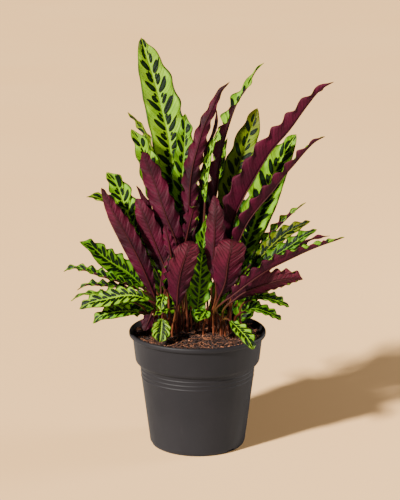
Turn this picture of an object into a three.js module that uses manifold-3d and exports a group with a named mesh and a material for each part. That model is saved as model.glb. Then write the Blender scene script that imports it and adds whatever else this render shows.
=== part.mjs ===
// Potted rattlesnake calathea: a charcoal plastic nursery pot with a wide collar, a fill of coarse potting
// mix, and a clump of lance-shaped leaves with waved edges, each on its own stalk.
// Millimetres, +Z up. The origin is the centre of the pot's flat underside, and the front faces -Y.
import * as THREE from 'three';
import { mergeVertices } from 'three/addons/utils/BufferGeometryUtils.js';
import Module from 'manifold-3d';

// Driving dimensions of the pot
const RIM_RADIUS = 95;
const POT_HEIGHT = 163.5;
const BASE_RADIUS = 67.3;
const WALL = 2;
const FLOOR = 3;
const LIP_HEIGHT = 6.5;
const LIP_WIDTH = 3.5;
const COLLAR_FOOT_Z = 119;
const COLLAR_FOOT_RADIUS = 86.4;
const COLLAR_TOP_RADIUS = 90.2;
const NECK_RADIUS = 80.6;
const BODY_TOP_RADIUS = 79.9;
const RING_HEIGHTS = [99, 105, 111];
const RING_DEPTH = 0.5;
const RING_WIDTH = 1.4;
const DRAIN_ANGLES = [44, 164, 284];
const DRAIN_WIDTH = 13;
const DRAIN_HEIGHT = 4.5;
const DRAIN_DEPTH = 9;
const SIDES = 48;

// Driving dimensions of the potting mix
const GAP = 0.3;
const SOIL_EDGE_Z = 156;
const SOIL_CROWN = 6;
const HOLE_FLOOR_Z = 138;
const HOLE_CLEARANCE = 0.5;
const HOLE_SIDES = 6;

// Driving dimensions of the leaves
const STALK_RADIUS = 1.5;
const STALK_STEPS = 3;
const STALK_CLEAR_Z = 166;
const BLADE_THICKNESS = 0.9;
const RIB_DEPTH = 1.2;
const WAVE_HEIGHT = 0.2;
const WAVE_WIDENING = 0.16;
const WAVE_LIMIT = 0.32;
const WAVE_UNEVENNESS = 0.35;
const WAVE_DRIFT = 2.4;
const TIP_START = 0.995;
const TIP_WIDTH = 1.2;

const UP = new THREE.Vector3(0, 0, 1);

const wasm = await Module();
wasm.setup();

// One row a leaf, listed by hand. root is where its stalk leaves the mix. midrib runs from the joint of
// stalk and blade to the tip. face is the way the upper side looks, and tipFace the way it looks at the
// tip of a leaf that turns, from the part turnFrom of its length on. fold is how many degrees each half
// stands up from flat. waves is how many the edge has, and calm the share of their height that a smoother
// edge keeps. A low blunt gives a long drawn tip, a high one a full tip.
const LEAVES = [
  {
    name: 'tall_left', root: [-21, 22], width: 57, waves: 9,
    fold: 20, blunt: 7, calm: 0.36, face: [0.24, -0.96, 0.15],
    midrib: [
      [-23, 34, 249], [-30, 44, 318], [-40, 51, 423], [-49, 56, 462], [-60, 61, 504], [-71, 66, 538],
      [-78, 69, 562],
    ],
  },
  {
    name: 'tall_left_low', root: [-14, 14], width: 31, waves: 8,
    fold: 15, blunt: 7, calm: 0.5, face: [0.1, -1, 0.1],
    midrib: [[-20, 19, 252], [-22, 24, 311], [-21, 30, 376], [-18, 36, 417], [-17, 44, 460]],
  },
  {
    name: 'tall_left_small', root: [-27, 8], width: 34, waves: 7,
    fold: 15, blunt: 6, calm: 0.6, face: [0.1, -1, 0.2],
    midrib: [[-26, 12, 255], [-37, 16, 309], [-58, 18, 365], [-75, 20, 415], [-91, 23, 442]],
  },
  {
    name: 'tall_left_twisted', root: [-28, 34], width: 26, waves: 6,
    fold: 20, blunt: 2, face: [-0.8, -0.6, 0.1],
    midrib: [[-45, 64, 347], [-68, 74, 416], [-79, 78, 436], [-98, 82, 455]],
  },
  {
    name: 'left_broad', root: [-38, 0], width: 38, waves: 8,
    fold: 15, blunt: 6, face: [0.1, -0.95, 0.3],
    midrib: [[-58, 0, 251], [-82, 6, 297], [-98, 10, 331], [-110, 14, 364], [-125, 16, 383]],
  },
  {
    name: 'left_dark_curl', root: [-31, -4], width: 20, waves: 5,
    fold: 15, blunt: 2, face: [0, 1, 0.1],
    midrib: [[-40, 0, 259], [-54, 1, 300], [-72, 5, 345], [-84, 8, 366]],
  },
  {
    name: 'left_maroon_tall', root: [-20, -6], width: 34, waves: 8,
    fold: 15, blunt: 8, calm: 0.6, face: [0, 1, 0.2],
    midrib: [[-18, -11, 240], [-27, -13, 286], [-43, -11, 328], [-58, -4, 371], [-75, 0, 415]],
  },
  {
    name: 'left_maroon_middle', root: [-30, -11], width: 32, waves: 6,
    fold: 15, blunt: 6, calm: 0.5, face: [0, 1, 0.2],
    midrib: [[-36, -26, 237], [-55, -22, 285], [-67, -20, 315], [-78, -16, 342], [-85, -7, 351]],
  },
  {
    name: 'left_maroon_low', root: [-46, -19], width: 34, waves: 11,
    fold: 25, blunt: 4, calm: 0.55, face: [-0.1, 1, 0.3],
    midrib: [[-56, -38, 215], [-75, -43, 265], [-94, -39, 303], [-110, -35, 331], [-130, -28, 371]],
  },
  {
    name: 'left_green_curl', root: [-44, -3], width: 30, waves: 7,
    fold: 20, blunt: 4, face: [0, -0.5, 0.85],
    midrib: [[-79, -14, 263], [-103, -11, 310], [-117, -12, 341], [-134, -14, 353], [-151, -16, 355]],
  },
  {
    name: 'centre_small_pink', root: [-24, -15], width: 17, waves: 5,
    fold: 15, blunt: 3, face: [0, 1, 0.2],
    midrib: [[-35, -36, 275], [-40, -34, 302], [-45, -32, 321]],
  },
  {
    name: 'centre_pink_edge', root: [-41, -22], width: 16, waves: 5,
    fold: 15, blunt: 3, face: [1, 0.25, 0],
    midrib: [[-49, -57, 236], [-48, -55, 250], [-46, -54, 265], [-38, -52, 284]],
  },
  {
    name: 'centre_bent_tip', root: [-14, -14], width: 20, waves: 4,
    fold: 12, blunt: 5, face: [0, 1, 0.1],
    tipFace: [0, 0.3, 1], turnFrom: 0.7,
    midrib: [[-16, -26, 295], [-11, -29, 319], [-6, -32, 339], [-2, -44, 349]],
  },
  {
    name: 'front_maroon_left', root: [-29, -21], width: 38, waves: 6,
    fold: 12, blunt: 6, calm: 0.6, face: [0, 1, 0.25],
    tipFace: [0, 0.3, -1], turnFrom: 0.6,
    midrib: [
      [-28, -58, 211], [-26, -62, 242], [-21, -65, 268], [-14, -66, 290], [-10, -58, 301],
      [-8, -47, 301], [-7, -42, 299],
    ],
  },
  {
    name: 'front_maroon_right', root: [22, -22], width: 44, waves: 5,
    fold: 12, blunt: 7, calm: 0.5, face: [0, 1, 0.2],
    tipFace: [0, 0.3, -1], turnFrom: 0.55,
    midrib: [
      [29, -58, 225], [37, -62, 247], [41, -66, 277], [45, -66, 295], [46, -57, 304], [48, -44, 302],
      [49, -37, 298],
    ],
  },
  {
    name: 'front_maroon_behind', root: [16, -15], width: 28, waves: 6,
    fold: 15, blunt: 6, calm: 0.5, face: [0.1, 1, 0.2],
    midrib: [[25, -46, 239], [22, -47, 274], [23, -45, 308], [24, -41, 342], [22, -30, 361]],
  },
  {
    name: 'centre_green', root: [-2, -15], width: 37, waves: 8,
    fold: 15, blunt: 4, face: [0, -0.95, 0.3],
    midrib: [[-2, -32, 180], [2, -34, 224], [5, -32, 266], [9, -28, 301], [13, -24, 327]],
  },
  {
    name: 'centre_maroon_tall', root: [-9, -3], width: 32, waves: 12,
    fold: 20, blunt: 2.2, face: [0.1, 1, 0.1],
    midrib: [
      [-9, -2, 253], [-11, 2, 309], [-11, 7, 354], [-7, 9, 390], [1, 12, 421], [10, 14, 450],
      [20, 16, 471], [30, 18, 493], [45, 20, 508],
    ],
  },
  {
    name: 'centre_maroon_thin', root: [0, 12], width: 20, waves: 6,
    fold: 20, blunt: 2, face: [-0.6, 0.8, 0.1],
    midrib: [
      [-1, 14, 251], [6, 18, 321], [12, 24, 390], [19, 29, 424], [26, 32, 446], [26, 34, 462],
      [21, 36, 476],
    ],
  },
  {
    name: 'centre_green_thin', root: [2, 2], width: 15, waves: 5,
    fold: 15, blunt: 3, face: [-0.6, -0.8, 0.1],
    midrib: [[10, 12, 338], [11, 16, 372], [14, 19, 396], [20, 20, 419], [31, 21, 444]],
  },
  {
    name: 'centre_folded_tall', root: [10, 18], width: 40, waves: 10,
    fold: 42, blunt: 2, calm: 0.8, face: [-0.8, 0.45, 0.15],
    tipFace: [-0.8, -0.7, 0.15], turnFrom: 0.3,
    midrib: [
      [13, 24, 265], [26, 35, 351], [30, 42, 386], [34, 45, 409], [39, 47, 428], [54, 47, 472],
      [68, 49, 494], [81, 51, 518], [92, 52, 529],
    ],
  },
  {
    name: 'centre_green_twisted', root: [14, 30], width: 16, waves: 4,
    fold: 20, blunt: 2.5, face: [-0.5, -0.85, 0],
    midrib: [[27, 60, 349], [33, 66, 376], [37, 70, 404], [42, 70, 421]],
  },
  {
    name: 'tall_right_green', root: [22, 20], width: 39, waves: 6,
    fold: 18, blunt: 7, calm: 0.32, face: [-0.2, -1, 0.1],
    midrib: [
      [23, 30, 259], [42, 52, 332], [51, 54, 366], [61, 56, 396], [69, 57, 420], [77, 59, 445],
      [83, 60, 465],
    ],
  },
  {
    name: 'right_maroon_tall', root: [18, -6], width: 60, waves: 11,
    fold: 40, blunt: 2.2, calm: 0.42, face: [-0.6, 0.6, 0.5],
    midrib: [
      [35, -14, 256], [44, -14, 294], [50, -12, 325], [62, -10, 352], [77, -8, 379], [98, -6, 414],
      [125, -5, 446], [147, -4, 477], [165, -4, 499], [184, -4, 511],
    ],
  },
  {
    name: 'right_maroon_middle', root: [26, -10], width: 42, waves: 10,
    fold: 40, blunt: 1.7, calm: 0.5, face: [-0.65, 0.42, 0.64],
    midrib: [
      [40, -26, 258], [55, -28, 295], [67, -26, 321], [83, -24, 343], [101, -22, 364], [117, -20, 385],
      [130, -19, 400], [146, -18, 419], [158, -18, 431], [172, -18, 439],
    ],
  },
  {
    name: 'right_green_tall', root: [32, 4], width: 52, waves: 8,
    fold: 22, blunt: 6, calm: 0.75, face: [-0.3, -0.9, 0.3],
    midrib: [
      [50, 6, 226], [58, 12, 254], [67, 18, 278], [81, 26, 314], [93, 30, 344], [103, 32, 372],
      [119, 33, 405], [136, 34, 433],
    ],
  },
  {
    name: 'right_thin', root: [44, 2], width: 20, waves: 7,
    fold: 40, blunt: 2.5, calm: 0.75, face: [-0.64, -0.3, 0.69],
    midrib: [
      [70, -10, 256], [80, -8, 268], [89, -2, 284], [102, 1, 299], [120, 4, 318], [135, 5, 332],
      [149, 6, 343],
    ],
  },
  {
    name: 'right_olive', root: [42, -4], width: 25, waves: 7,
    fold: 22, blunt: 4, calm: 0.7, face: [-0.38, -0.77, 0.51],
    midrib: [
      [70, -24, 253], [83, -18, 267], [103, -16, 289], [120, -15, 304], [137, -14, 313],
      [154, -14, 321],
    ],
  },
  {
    name: 'right_green', root: [46, -9], width: 24, waves: 7,
    fold: 22, blunt: 4, calm: 0.7, face: [-0.35, -0.77, 0.55],
    midrib: [
      [67, -40, 246], [82, -38, 261], [105, -37, 278], [125, -36, 291], [144, -35, 305],
      [162, -34, 314],
    ],
  },
  {
    name: 'right_folded_long', root: [34, -15], width: 38, waves: 11,
    fold: 45, blunt: 1.8, calm: 0.65, face: [-0.4, 0.45, 0.8],
    tipFace: [-0.48, -0.3, 0.8], turnFrom: 0.4,
    midrib: [
      [37, -77, 226], [53, -80, 240], [70, -79, 253], [94, -73, 268], [124, -65, 281], [148, -60, 291],
      [168, -56, 298], [184, -54, 303], [198, -52, 308],
    ],
  },
  {
    name: 'right_thin_back', root: [51, -3], width: 14, waves: 5,
    fold: 20, blunt: 3, face: [-0.4, 0.6, 0.6],
    midrib: [[90, -24, 249], [112, -21, 267], [144, -17, 288], [155, -15, 295], [181, -12, 300]],
  },
  {
    name: 'right_maroon_ribbed', root: [38, -26], width: 38, waves: 9,
    fold: 15, blunt: 5, face: [0, 0.9, 0.4],
    midrib: [
      [45, -59, 219], [61, -60, 232], [86, -61, 243], [110, -64, 251], [131, -65, 254], [142, -64, 252],
    ],
  },
  {
    name: 'right_low_upper', root: [60, -30], width: 22, waves: 5,
    fold: 20, blunt: 4, calm: 0.7, face: [0.2, -0.5, 0.85],
    midrib: [[71, -46, 218], [87, -48, 223], [109, -46, 216], [125, -44, 208]],
  },
  {
    name: 'right_low_under', root: [51, -29], width: 23, waves: 5,
    fold: 20, blunt: 4, calm: 0.7, face: [0.2, -0.5, 0.85],
    midrib: [[63, -50, 203], [76, -56, 209], [95, -54, 203], [114, -52, 192]],
  },
  {
    name: 'right_shaded', root: [44, -15], width: 31, waves: 3,
    fold: 15, blunt: 4, face: [0, -0.85, 0.5],
    midrib: [[53, -22, 180], [64, -22, 196], [75, -22, 213], [80, -23, 222]],
  },
  {
    name: 'left_fan_top', root: [-46, -9], width: 38, waves: 7,
    fold: 15, blunt: 3, calm: 0.8, face: [0.2, -0.8, 0.55],
    midrib: [
      [-73, -26, 230], [-95, -26, 251], [-111, -28, 262], [-127, -30, 274], [-143, -32, 289],
      [-160, -34, 297],
    ],
  },
  {
    name: 'left_fan_second', root: [-51, -13], width: 24, waves: 8,
    fold: 30, blunt: 3, calm: 0.8, face: [0, -0.3, 0.95],
    midrib: [
      [-78, -44, 232], [-94, -48, 241], [-117, -53, 250], [-134, -53, 255], [-152, -53, 262],
      [-169, -50, 264], [-181, -50, 259],
    ],
  },
  {
    name: 'left_fan_dark', root: [-55, -18], width: 20, waves: 7,
    fold: 25, blunt: 3, calm: 0.8, face: [0, -0.2, 1],
    midrib: [
      [-77, -40, 224], [-90, -42, 231], [-112, -42, 236], [-134, -42, 238], [-150, -42, 238],
      [-164, -42, 231],
    ],
  },
  {
    name: 'left_fan_bright', root: [-62, -20], width: 30, waves: 8,
    fold: 12, blunt: 4, face: [0, -0.75, 0.66],
    midrib: [
      [-64, -60, 221], [-80, -62, 228], [-99, -62, 229], [-123, -62, 224], [-145, -62, 219],
      [-160, -62, 210],
    ],
  },
  {
    name: 'left_fan_small', root: [-66, -10], width: 12, waves: 5,
    fold: 20, blunt: 3, face: [0, -0.4, 0.9],
    midrib: [[-95, -38, 216], [-119, -42, 224], [-146, -44, 227], [-161, -44, 224], [-172, -44, 216]],
  },
  {
    name: 'left_fan_low', root: [-67, -15], width: 22, waves: 5,
    fold: 12, blunt: 4, face: [-0.2, -0.75, 0.6],
    midrib: [[-78, -48, 202], [-97, -54, 205], [-116, -56, 203], [-131, -56, 199], [-142, -56, 188]],
  },
  {
    name: 'left_fan_shaded', root: [-50, -4], width: 40, waves: 4,
    fold: 15, blunt: 4, face: [0, -0.95, 0.3],
    midrib: [[-54, 0, 186], [-66, -2, 196], [-84, -6, 203], [-106, -12, 201], [-125, -17, 192]],
  },
  {
    name: 'front_small_left', root: [-44, -30], width: 28, waves: 4,
    fold: 10, blunt: 6, face: [0, -0.85, 0.5],
    midrib: [[-48, -50, 194], [-49, -60, 180], [-51, -66, 165]],
  },
  {
    name: 'front_small_bright', root: [-39, -28], width: 18, waves: 3,
    fold: 15, blunt: 4, face: [0, -0.8, 0.6],
    midrib: [[-45, -62, 231], [-48, -72, 223], [-49, -78, 213]],
  },
  {
    name: 'front_small_sliver', root: [-35, -31], width: 14, waves: 3,
    fold: 25, blunt: 3, face: [0.2, -0.1, 0.95],
    midrib: [[-37, -57, 208], [-48, -65, 205], [-59, -72, 203]],
  },
  {
    name: 'front_small_maroon', root: [-61, -28], width: 20, waves: 3,
    fold: 12, blunt: 4, face: [0, 1, 0.1],
    midrib: [[-62, -50, 201], [-67, -56, 190], [-72, -60, 179]],
  },
  {
    name: 'front_small_right', root: [32, -28], width: 26, waves: 5,
    fold: 15, blunt: 5, calm: 0.7, face: [0.2, -0.6, 0.8],
    midrib: [[44, -52, 191], [56, -68, 183], [66, -84, 176], [75, -94, 163]],
  },
  {
    name: 'front_small_centre', root: [8, -24], width: 26, waves: 3,
    fold: 15, blunt: 5, face: [0, -0.4, 0.9],
    midrib: [[12, -50, 206], [7, -60, 201], [2, -74, 197]],
  },
  {
    name: 'back_tall_left', root: [-12, 36], width: 46, waves: 4,
    fold: 15, blunt: 4, face: [0, -0.8, 0.6],
    midrib: [[-15, 38, 172], [-26, 56, 222], [-37, 96, 284], [-48, 140, 330]],
  },
  {
    name: 'back_tall_middle', root: [4, 36], width: 42, waves: 4,
    fold: 15, blunt: 4, face: [0, -0.8, 0.6],
    midrib: [[4, 39, 172], [6, 65, 236], [8, 108, 305], [10, 152, 345]],
  },
  {
    name: 'back_tall_right', root: [22, 34], width: 42, waves: 4,
    fold: 15, blunt: 4, face: [0, -0.8, 0.6],
    midrib: [[25, 36, 172], [39, 52, 224], [57, 90, 282], [68, 131, 320]],
  },
  {
    name: 'back_left', root: [-34, 24], width: 40, waves: 4,
    fold: 15, blunt: 4, face: [0.5, -0.5, 0.7],
    midrib: [[-39, 31, 180], [-52, 50, 216], [-72, 80, 252], [-95, 110, 270]],
  },
  {
    name: 'back_right', root: [34, 24], width: 40, waves: 4,
    fold: 15, blunt: 4, face: [-0.5, -0.5, 0.7],
    midrib: [[48, 31, 180], [66, 48, 216], [90, 78, 252], [110, 103, 268]],
  },
  {
    name: 'back_side_left', root: [-44, 12], width: 30, waves: 4,
    fold: 15, blunt: 3, face: [0.4, -0.2, 0.9],
    midrib: [[-66, 34, 205], [-92, 52, 220], [-120, 70, 225]],
  },
  {
    name: 'back_side_right', root: [44, 12], width: 30, waves: 4,
    fold: 15, blunt: 3, face: [-0.4, -0.2, 0.9],
    midrib: [[70, 30, 205], [96, 48, 222], [122, 64, 228]],
  },
  {
    name: 'back_low_middle', root: [4, 48], width: 40, waves: 4,
    fold: 15, blunt: 3, face: [0, -0.9, 0.4],
    midrib: [[3, 62, 170], [2, 78, 200], [2, 102, 240]],
  },
  {
    name: 'back_low_left', root: [-13, 45], width: 42, waves: 4,
    fold: 15, blunt: 3, face: [0, -0.9, 0.4],
    midrib: [[-6, 59, 172], [-36, 66, 183], [-76, 70, 192]],
  },
  {
    name: 'back_low_right', root: [20, 44], width: 42, waves: 4,
    fold: 15, blunt: 3, face: [0, -0.9, 0.4],
    midrib: [[12, 59, 172], [42, 65, 182], [80, 69, 191]],
  },
];

const materials = {
  pot: new THREE.MeshStandardMaterial({ name: 'charcoal plastic', color: 0x3c3937, roughness: 0.5 }),
  soil: new THREE.MeshStandardMaterial({ name: 'potting mix', color: 0x6b4330, roughness: 0.95 }),
  green: new THREE.MeshStandardMaterial({ name: 'leaf upper side', color: 0x86ad35, roughness: 0.45 }),
  maroon: new THREE.MeshStandardMaterial({ name: 'leaf underside', color: 0x5e2036, roughness: 0.5 }),
};

// A lathe's faces, turned so that its axis is Z, closed and welded.
function turned(profile) {
  const points = profile.map(([radius, z]) => new THREE.Vector2(radius, z));
  const geometry = new THREE.LatheGeometry(points, SIDES);
  geometry.rotateX(Math.PI / 2);
  return welded(geometry);
}

function welded(geometry) {
  geometry.deleteAttribute('normal');
  geometry.deleteAttribute('uv');
  return mergeVertices(geometry, 1e-4);
}

function solidOf(geometry) {
  const vertProperties = new Float32Array(geometry.attributes.position.array);
  const triVerts = new Uint32Array(geometry.index.array);
  return new wasm.Manifold(new wasm.Mesh({ numProp: 3, vertProperties, triVerts }));
}

function geometryOf(solid) {
  const mesh = solid.getMesh();
  const geometry = new THREE.BufferGeometry();
  geometry.setAttribute('position', new THREE.BufferAttribute(mesh.vertProperties, 3));
  geometry.setIndex(new THREE.BufferAttribute(mesh.triVerts, 1));
  return geometry;
}

// The radius inside the pot's wall at the heights where its slope changes, from the floor to the lip.
function insideProfile() {
  return [
    [BASE_RADIUS - WALL - 1, FLOOR],
    [NECK_RADIUS - WALL, COLLAR_FOOT_Z - WALL],
    [COLLAR_FOOT_RADIUS - WALL, COLLAR_FOOT_Z + 2 * WALL],
    [COLLAR_TOP_RADIUS - WALL, POT_HEIGHT - LIP_HEIGHT - WALL],
  ];
}

// Fine rings moulded round the body below the collar
function ringProfile(z) {
  const lowest = BODY_TOP_RADIUS - 1.6;
  const radius = THREE.MathUtils.mapLinear(z, RING_HEIGHTS[0], COLLAR_FOOT_Z, lowest, BODY_TOP_RADIUS);
  return [
    [radius, z - RING_WIDTH],
    [radius + RING_DEPTH, z - RING_WIDTH / 3],
    [radius + RING_DEPTH, z + RING_WIDTH / 3],
    [radius, z + RING_WIDTH],
  ];
}

function drainNotch(degrees) {
  const box = new THREE.BoxGeometry(DRAIN_DEPTH, DRAIN_WIDTH, 2 * DRAIN_HEIGHT);
  box.translate(BASE_RADIUS, 0, 0);
  box.rotateZ(THREE.MathUtils.degToRad(degrees - 90));
  return solidOf(welded(box));
}

function potGeometry() {
  const lipFootZ = POT_HEIGHT - LIP_HEIGHT;
  const outside = [
    [0, 0],
    [BASE_RADIUS - 4.8, 0],
    [BASE_RADIUS - 2.4, 1.2],
    [BASE_RADIUS - 0.6, 5],
    [BASE_RADIUS, 11],
    ...RING_HEIGHTS.flatMap(ringProfile),
    [NECK_RADIUS, COLLAR_FOOT_Z - 1],
    [COLLAR_FOOT_RADIUS - 2, COLLAR_FOOT_Z],
    [COLLAR_FOOT_RADIUS, COLLAR_FOOT_Z + 3],
    [COLLAR_TOP_RADIUS, lipFootZ - 1],
    [RIM_RADIUS - 1, lipFootZ],
    [RIM_RADIUS, lipFootZ + 1.5],
    [RIM_RADIUS, POT_HEIGHT - 1.5],
    [RIM_RADIUS - 1.2, POT_HEIGHT],
    [RIM_RADIUS - LIP_WIDTH, POT_HEIGHT],
  ];
  const inside = insideProfile().reverse();
  const shell = turned([...outside, ...inside, [0, FLOOR]]);
  const solid = DRAIN_ANGLES.reduce((pot, angle) => pot.subtract(drainNotch(angle)), solidOf(shell));
  return geometryOf(solid);
}

function soilHole(root) {
  const depth = POT_HEIGHT + SOIL_CROWN - HOLE_FLOOR_Z;
  const radius = STALK_RADIUS + HOLE_CLEARANCE;
  const hole = new THREE.CylinderGeometry(radius, radius, depth, HOLE_SIDES);
  hole.rotateX(Math.PI / 2);
  hole.translate(root[0], root[1], HOLE_FLOOR_Z + depth / 2);
  return solidOf(welded(hole));
}

// The mix fills the pot to just under the lip, a little higher in the middle.
function soilGeometry() {
  const wall = insideProfile().map(([radius, z]) => [radius - GAP, z + GAP]);
  const [edgeRadius] = wall[wall.length - 1];
  wall[wall.length - 1] = [edgeRadius, SOIL_EDGE_Z - 2];
  const crownHeight = (part) => SOIL_EDGE_Z + SOIL_CROWN * (1 - part ** 2);
  const crown = [0.8, 0.5, 0].map((part) => [edgeRadius * part, crownHeight(part)]);
  const mound = turned([[0, FLOOR + GAP], ...wall, [edgeRadius - 2, SOIL_EDGE_Z], ...crown]);
  const solid = LEAVES.reduce((soil, row) => soil.subtract(soilHole(row.root)), solidOf(mound));
  return geometryOf(solid);
}

// Half the blade's width at a part of its length, from joint to tip.
function halfWidth(row, part) {
  const rise = 1 - (1 - part) ** 4.5;
  const taper = Math.max(0, 1 - part ** row.blunt) ** 0.85;
  return (row.width / 2) * rise * taper;
}

// The directions across and out of the upper side of the blade, where its midrib heads along tangent.
function bladeFrame(row, part, tangent) {
  const face = new THREE.Vector3(...row.face);
  if (row.tipFace) {
    const turn = THREE.MathUtils.smoothstep(part, row.turnFrom, 1);
    face.lerp(new THREE.Vector3(...row.tipFace), turn);
  }
  const normal = face.addScaledVector(tangent, -face.dot(tangent)).normalize();
  const across = new THREE.Vector3().crossVectors(tangent, normal);
  return { across, normal };
}

// Six points round the stalk, in the same order as the six of a blade's section.
function stalkRing(centre, across, normal) {
  return [150, 90, 30, -30, -90, -150].map((degrees) => {
    const angle = THREE.MathUtils.degToRad(degrees);
    return centre
      .clone()
      .addScaledVector(across, STALK_RADIUS * Math.cos(angle))
      .addScaledVector(normal, STALK_RADIUS * Math.sin(angle));
  });
}

// How far the edge on one side stands up at a crest, as a part of a whole wave. No two waves are alike.
function crestLift(row, side, crest) {
  const even = side * (crest % 2 === 0 ? 1 : -1);
  return even * (1 + WAVE_UNEVENNESS * Math.sin(WAVE_DRIFT * crest + row.root[0] + side));
}

// A folded section: left edge, midrib and right edge on the upper side, then back along the underside.
function bladeRing(row, part, centre, across, normal, waveSize, lifts) {
  const fold = THREE.MathUtils.degToRad(row.fold);
  const half = Math.max(halfWidth(row, part), TIP_WIDTH / 2);
  const skin = BLADE_THICKNESS / 2;
  const size = Math.min(waveSize, half / WAVE_HEIGHT * WAVE_LIMIT);
  const edge = (side) => {
    const lift = size * lifts[side];
    const reach = half + WAVE_WIDENING * lift;
    const outward = new THREE.Vector3()
      .addScaledVector(across, side * Math.cos(fold))
      .addScaledVector(normal, Math.sin(fold));
    const upward = new THREE.Vector3()
      .addScaledVector(across, -side * Math.sin(fold))
      .addScaledVector(normal, Math.cos(fold));
    const middle = centre.clone().addScaledVector(outward, reach);
    middle.addScaledVector(upward, WAVE_HEIGHT * lift);
    const upper = middle.clone().addScaledVector(upward, skin);
    const lower = middle.clone().addScaledVector(upward, -skin);
    return { upper, lower };
  };
  const left = edge(-1);
  const right = edge(1);
  const rib = skin / Math.cos(fold) + RIB_DEPTH * (1 - part);
  const ridge = centre.clone().addScaledVector(normal, skin / Math.cos(fold));
  const keel = centre.clone().addScaledVector(normal, -rib);
  return [left.upper, ridge, right.upper, right.lower, keel, left.lower];
}

// The stalk leaves the mix upright and arrives in line with the blade.
function stalkCurve(row, joint, heading) {
  const foot = new THREE.Vector3(...row.root, STALK_CLEAR_Z);
  const pull = 0.4 * foot.distanceTo(joint);
  const rising = foot.clone().addScaledVector(UP, pull);
  const arriving = joint.clone().addScaledVector(heading, -pull);
  return new THREE.CubicBezierCurve3(foot, rising, arriving, joint);
}

function leafGeometry(row) {
  const midrib = new THREE.CatmullRomCurve3(row.midrib.map((point) => new THREE.Vector3(...point)));
  const stalk = stalkCurve(row, midrib.getPointAt(0), midrib.getTangentAt(0));
  const waveSize = (row.calm ?? 1) * midrib.getLength() / row.waves;
  const rings = [];
  const addStalkRing = (centre, tangent) => {
    const { across, normal } = bladeFrame(row, 0, tangent);
    rings.push(stalkRing(centre, across, normal));
  };
  addStalkRing(new THREE.Vector3(...row.root, HOLE_FLOOR_Z + GAP), UP);
  for (let step = 0; step <= STALK_STEPS; step += 1) {
    const part = step / STALK_STEPS;
    addStalkRing(stalk.getPointAt(part), stalk.getTangentAt(part));
  }
  const addBladeRing = (part, lifts) => {
    const { across, normal } = bladeFrame(row, part, midrib.getTangentAt(part));
    rings.push(bladeRing(row, part, midrib.getPointAt(part), across, normal, waveSize, lifts));
  };
  for (let crest = 0; crest < 2 * row.waves; crest += 1) {
    const lifts = { [-1]: crestLift(row, -1, crest), 1: crestLift(row, 1, crest) };
    addBladeRing((crest + 0.5) / (2 * row.waves), lifts);
  }
  addBladeRing(TIP_START, { [-1]: 0, 1: 0 });
  return lofted(rings);
}

// Joins rings of equal count into one closed skin. Quads are split alike on both faces of a blade.
function lofted(rings) {
  const count = rings[0].length;
  const positions = rings.flat().flatMap((point) => point.toArray());
  const index = [];
  const mirrored = [false, true, false, false, true, false];
  for (let ring = 0; ring + 1 < rings.length; ring += 1) {
    for (let side = 0; side < count; side += 1) {
      const a = ring * count + side;
      const b = ring * count + ((side + 1) % count);
      const c = b + count;
      const d = a + count;
      index.push(...(mirrored[side] ? [a, b, d, b, c, d] : [a, c, d, a, b, c]));
    }
  }
  const end = (rings.length - 1) * count;
  const cap = [0, 5, 1, 1, 5, 4, 1, 4, 2, 2, 4, 3];
  index.push(...cap, ...cap.toReversed().map((corner) => end + corner));
  const geometry = new THREE.BufferGeometry();
  geometry.setAttribute('position', new THREE.Float32BufferAttribute(positions, 3));
  geometry.setIndex(index);
  return geometry;
}

function piece(name, geometry, material) {
  const mesh = new THREE.Mesh(geometry, material);
  mesh.name = name;
  return mesh;
}

const group = new THREE.Group();
group.add(piece('pot', potGeometry(), materials.pot));
group.add(piece('potting_mix', soilGeometry(), materials.soil));
for (const row of LEAVES) {
  const seen = row.face[1] > 0.3 ? materials.maroon : materials.green;
  group.add(piece(`leaf_${row.name}`, leafGeometry(row), seen));
}

export default group;
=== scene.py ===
import math
from collections import namedtuple

import bpy
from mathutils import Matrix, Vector


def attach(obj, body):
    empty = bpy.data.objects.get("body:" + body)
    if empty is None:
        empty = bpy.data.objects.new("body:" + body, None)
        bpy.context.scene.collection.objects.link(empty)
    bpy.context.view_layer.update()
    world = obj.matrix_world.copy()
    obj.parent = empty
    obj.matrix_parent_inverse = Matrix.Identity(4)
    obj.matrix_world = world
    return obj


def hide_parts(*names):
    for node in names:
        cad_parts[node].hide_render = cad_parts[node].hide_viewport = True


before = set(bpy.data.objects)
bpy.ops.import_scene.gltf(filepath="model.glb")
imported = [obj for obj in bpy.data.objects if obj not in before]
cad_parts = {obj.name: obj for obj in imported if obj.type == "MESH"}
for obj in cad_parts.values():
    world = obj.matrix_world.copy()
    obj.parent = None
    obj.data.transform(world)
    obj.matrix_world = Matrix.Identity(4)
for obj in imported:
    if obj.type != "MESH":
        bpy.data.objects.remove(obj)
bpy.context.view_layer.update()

# A potted rattlesnake calathea. The solids' sizes and places are repeated here in millimetres, with
# angles in degrees. The scene is in metres: +Z up, the origin at the centre of the pot's flat underside,
# the front facing -Y.
MM = 0.001
UP = Vector((0.0, 0.0, 1.0))

# The pot
RIM_RADIUS = 95
POT_HEIGHT = 163.5
BASE_RADIUS = 67.3
WALL = 2
FLOOR = 3
LIP_HEIGHT = 6.5
LIP_WIDTH = 3.5
COLLAR_FOOT_Z = 119
COLLAR_FOOT_RADIUS = 86.4
COLLAR_TOP_RADIUS = 90.2
NECK_RADIUS = 80.6
BODY_TOP_RADIUS = 79.9
RING_HEIGHTS = (99, 105, 111)
RING_DEPTH = 0.5
RING_WIDTH = 1.4
RING_TAPER = 1.6
DRAIN_ANGLES = (44, 164, 284)
DRAIN_WIDTH = 13
DRAIN_HEIGHT = 4.5
DRAIN_DEPTH = 9
POT_SIDES = 168
SHARP_ANGLE = 38
CORNER_STEPS = 5
CORNER_SHARE = 0.45

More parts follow.
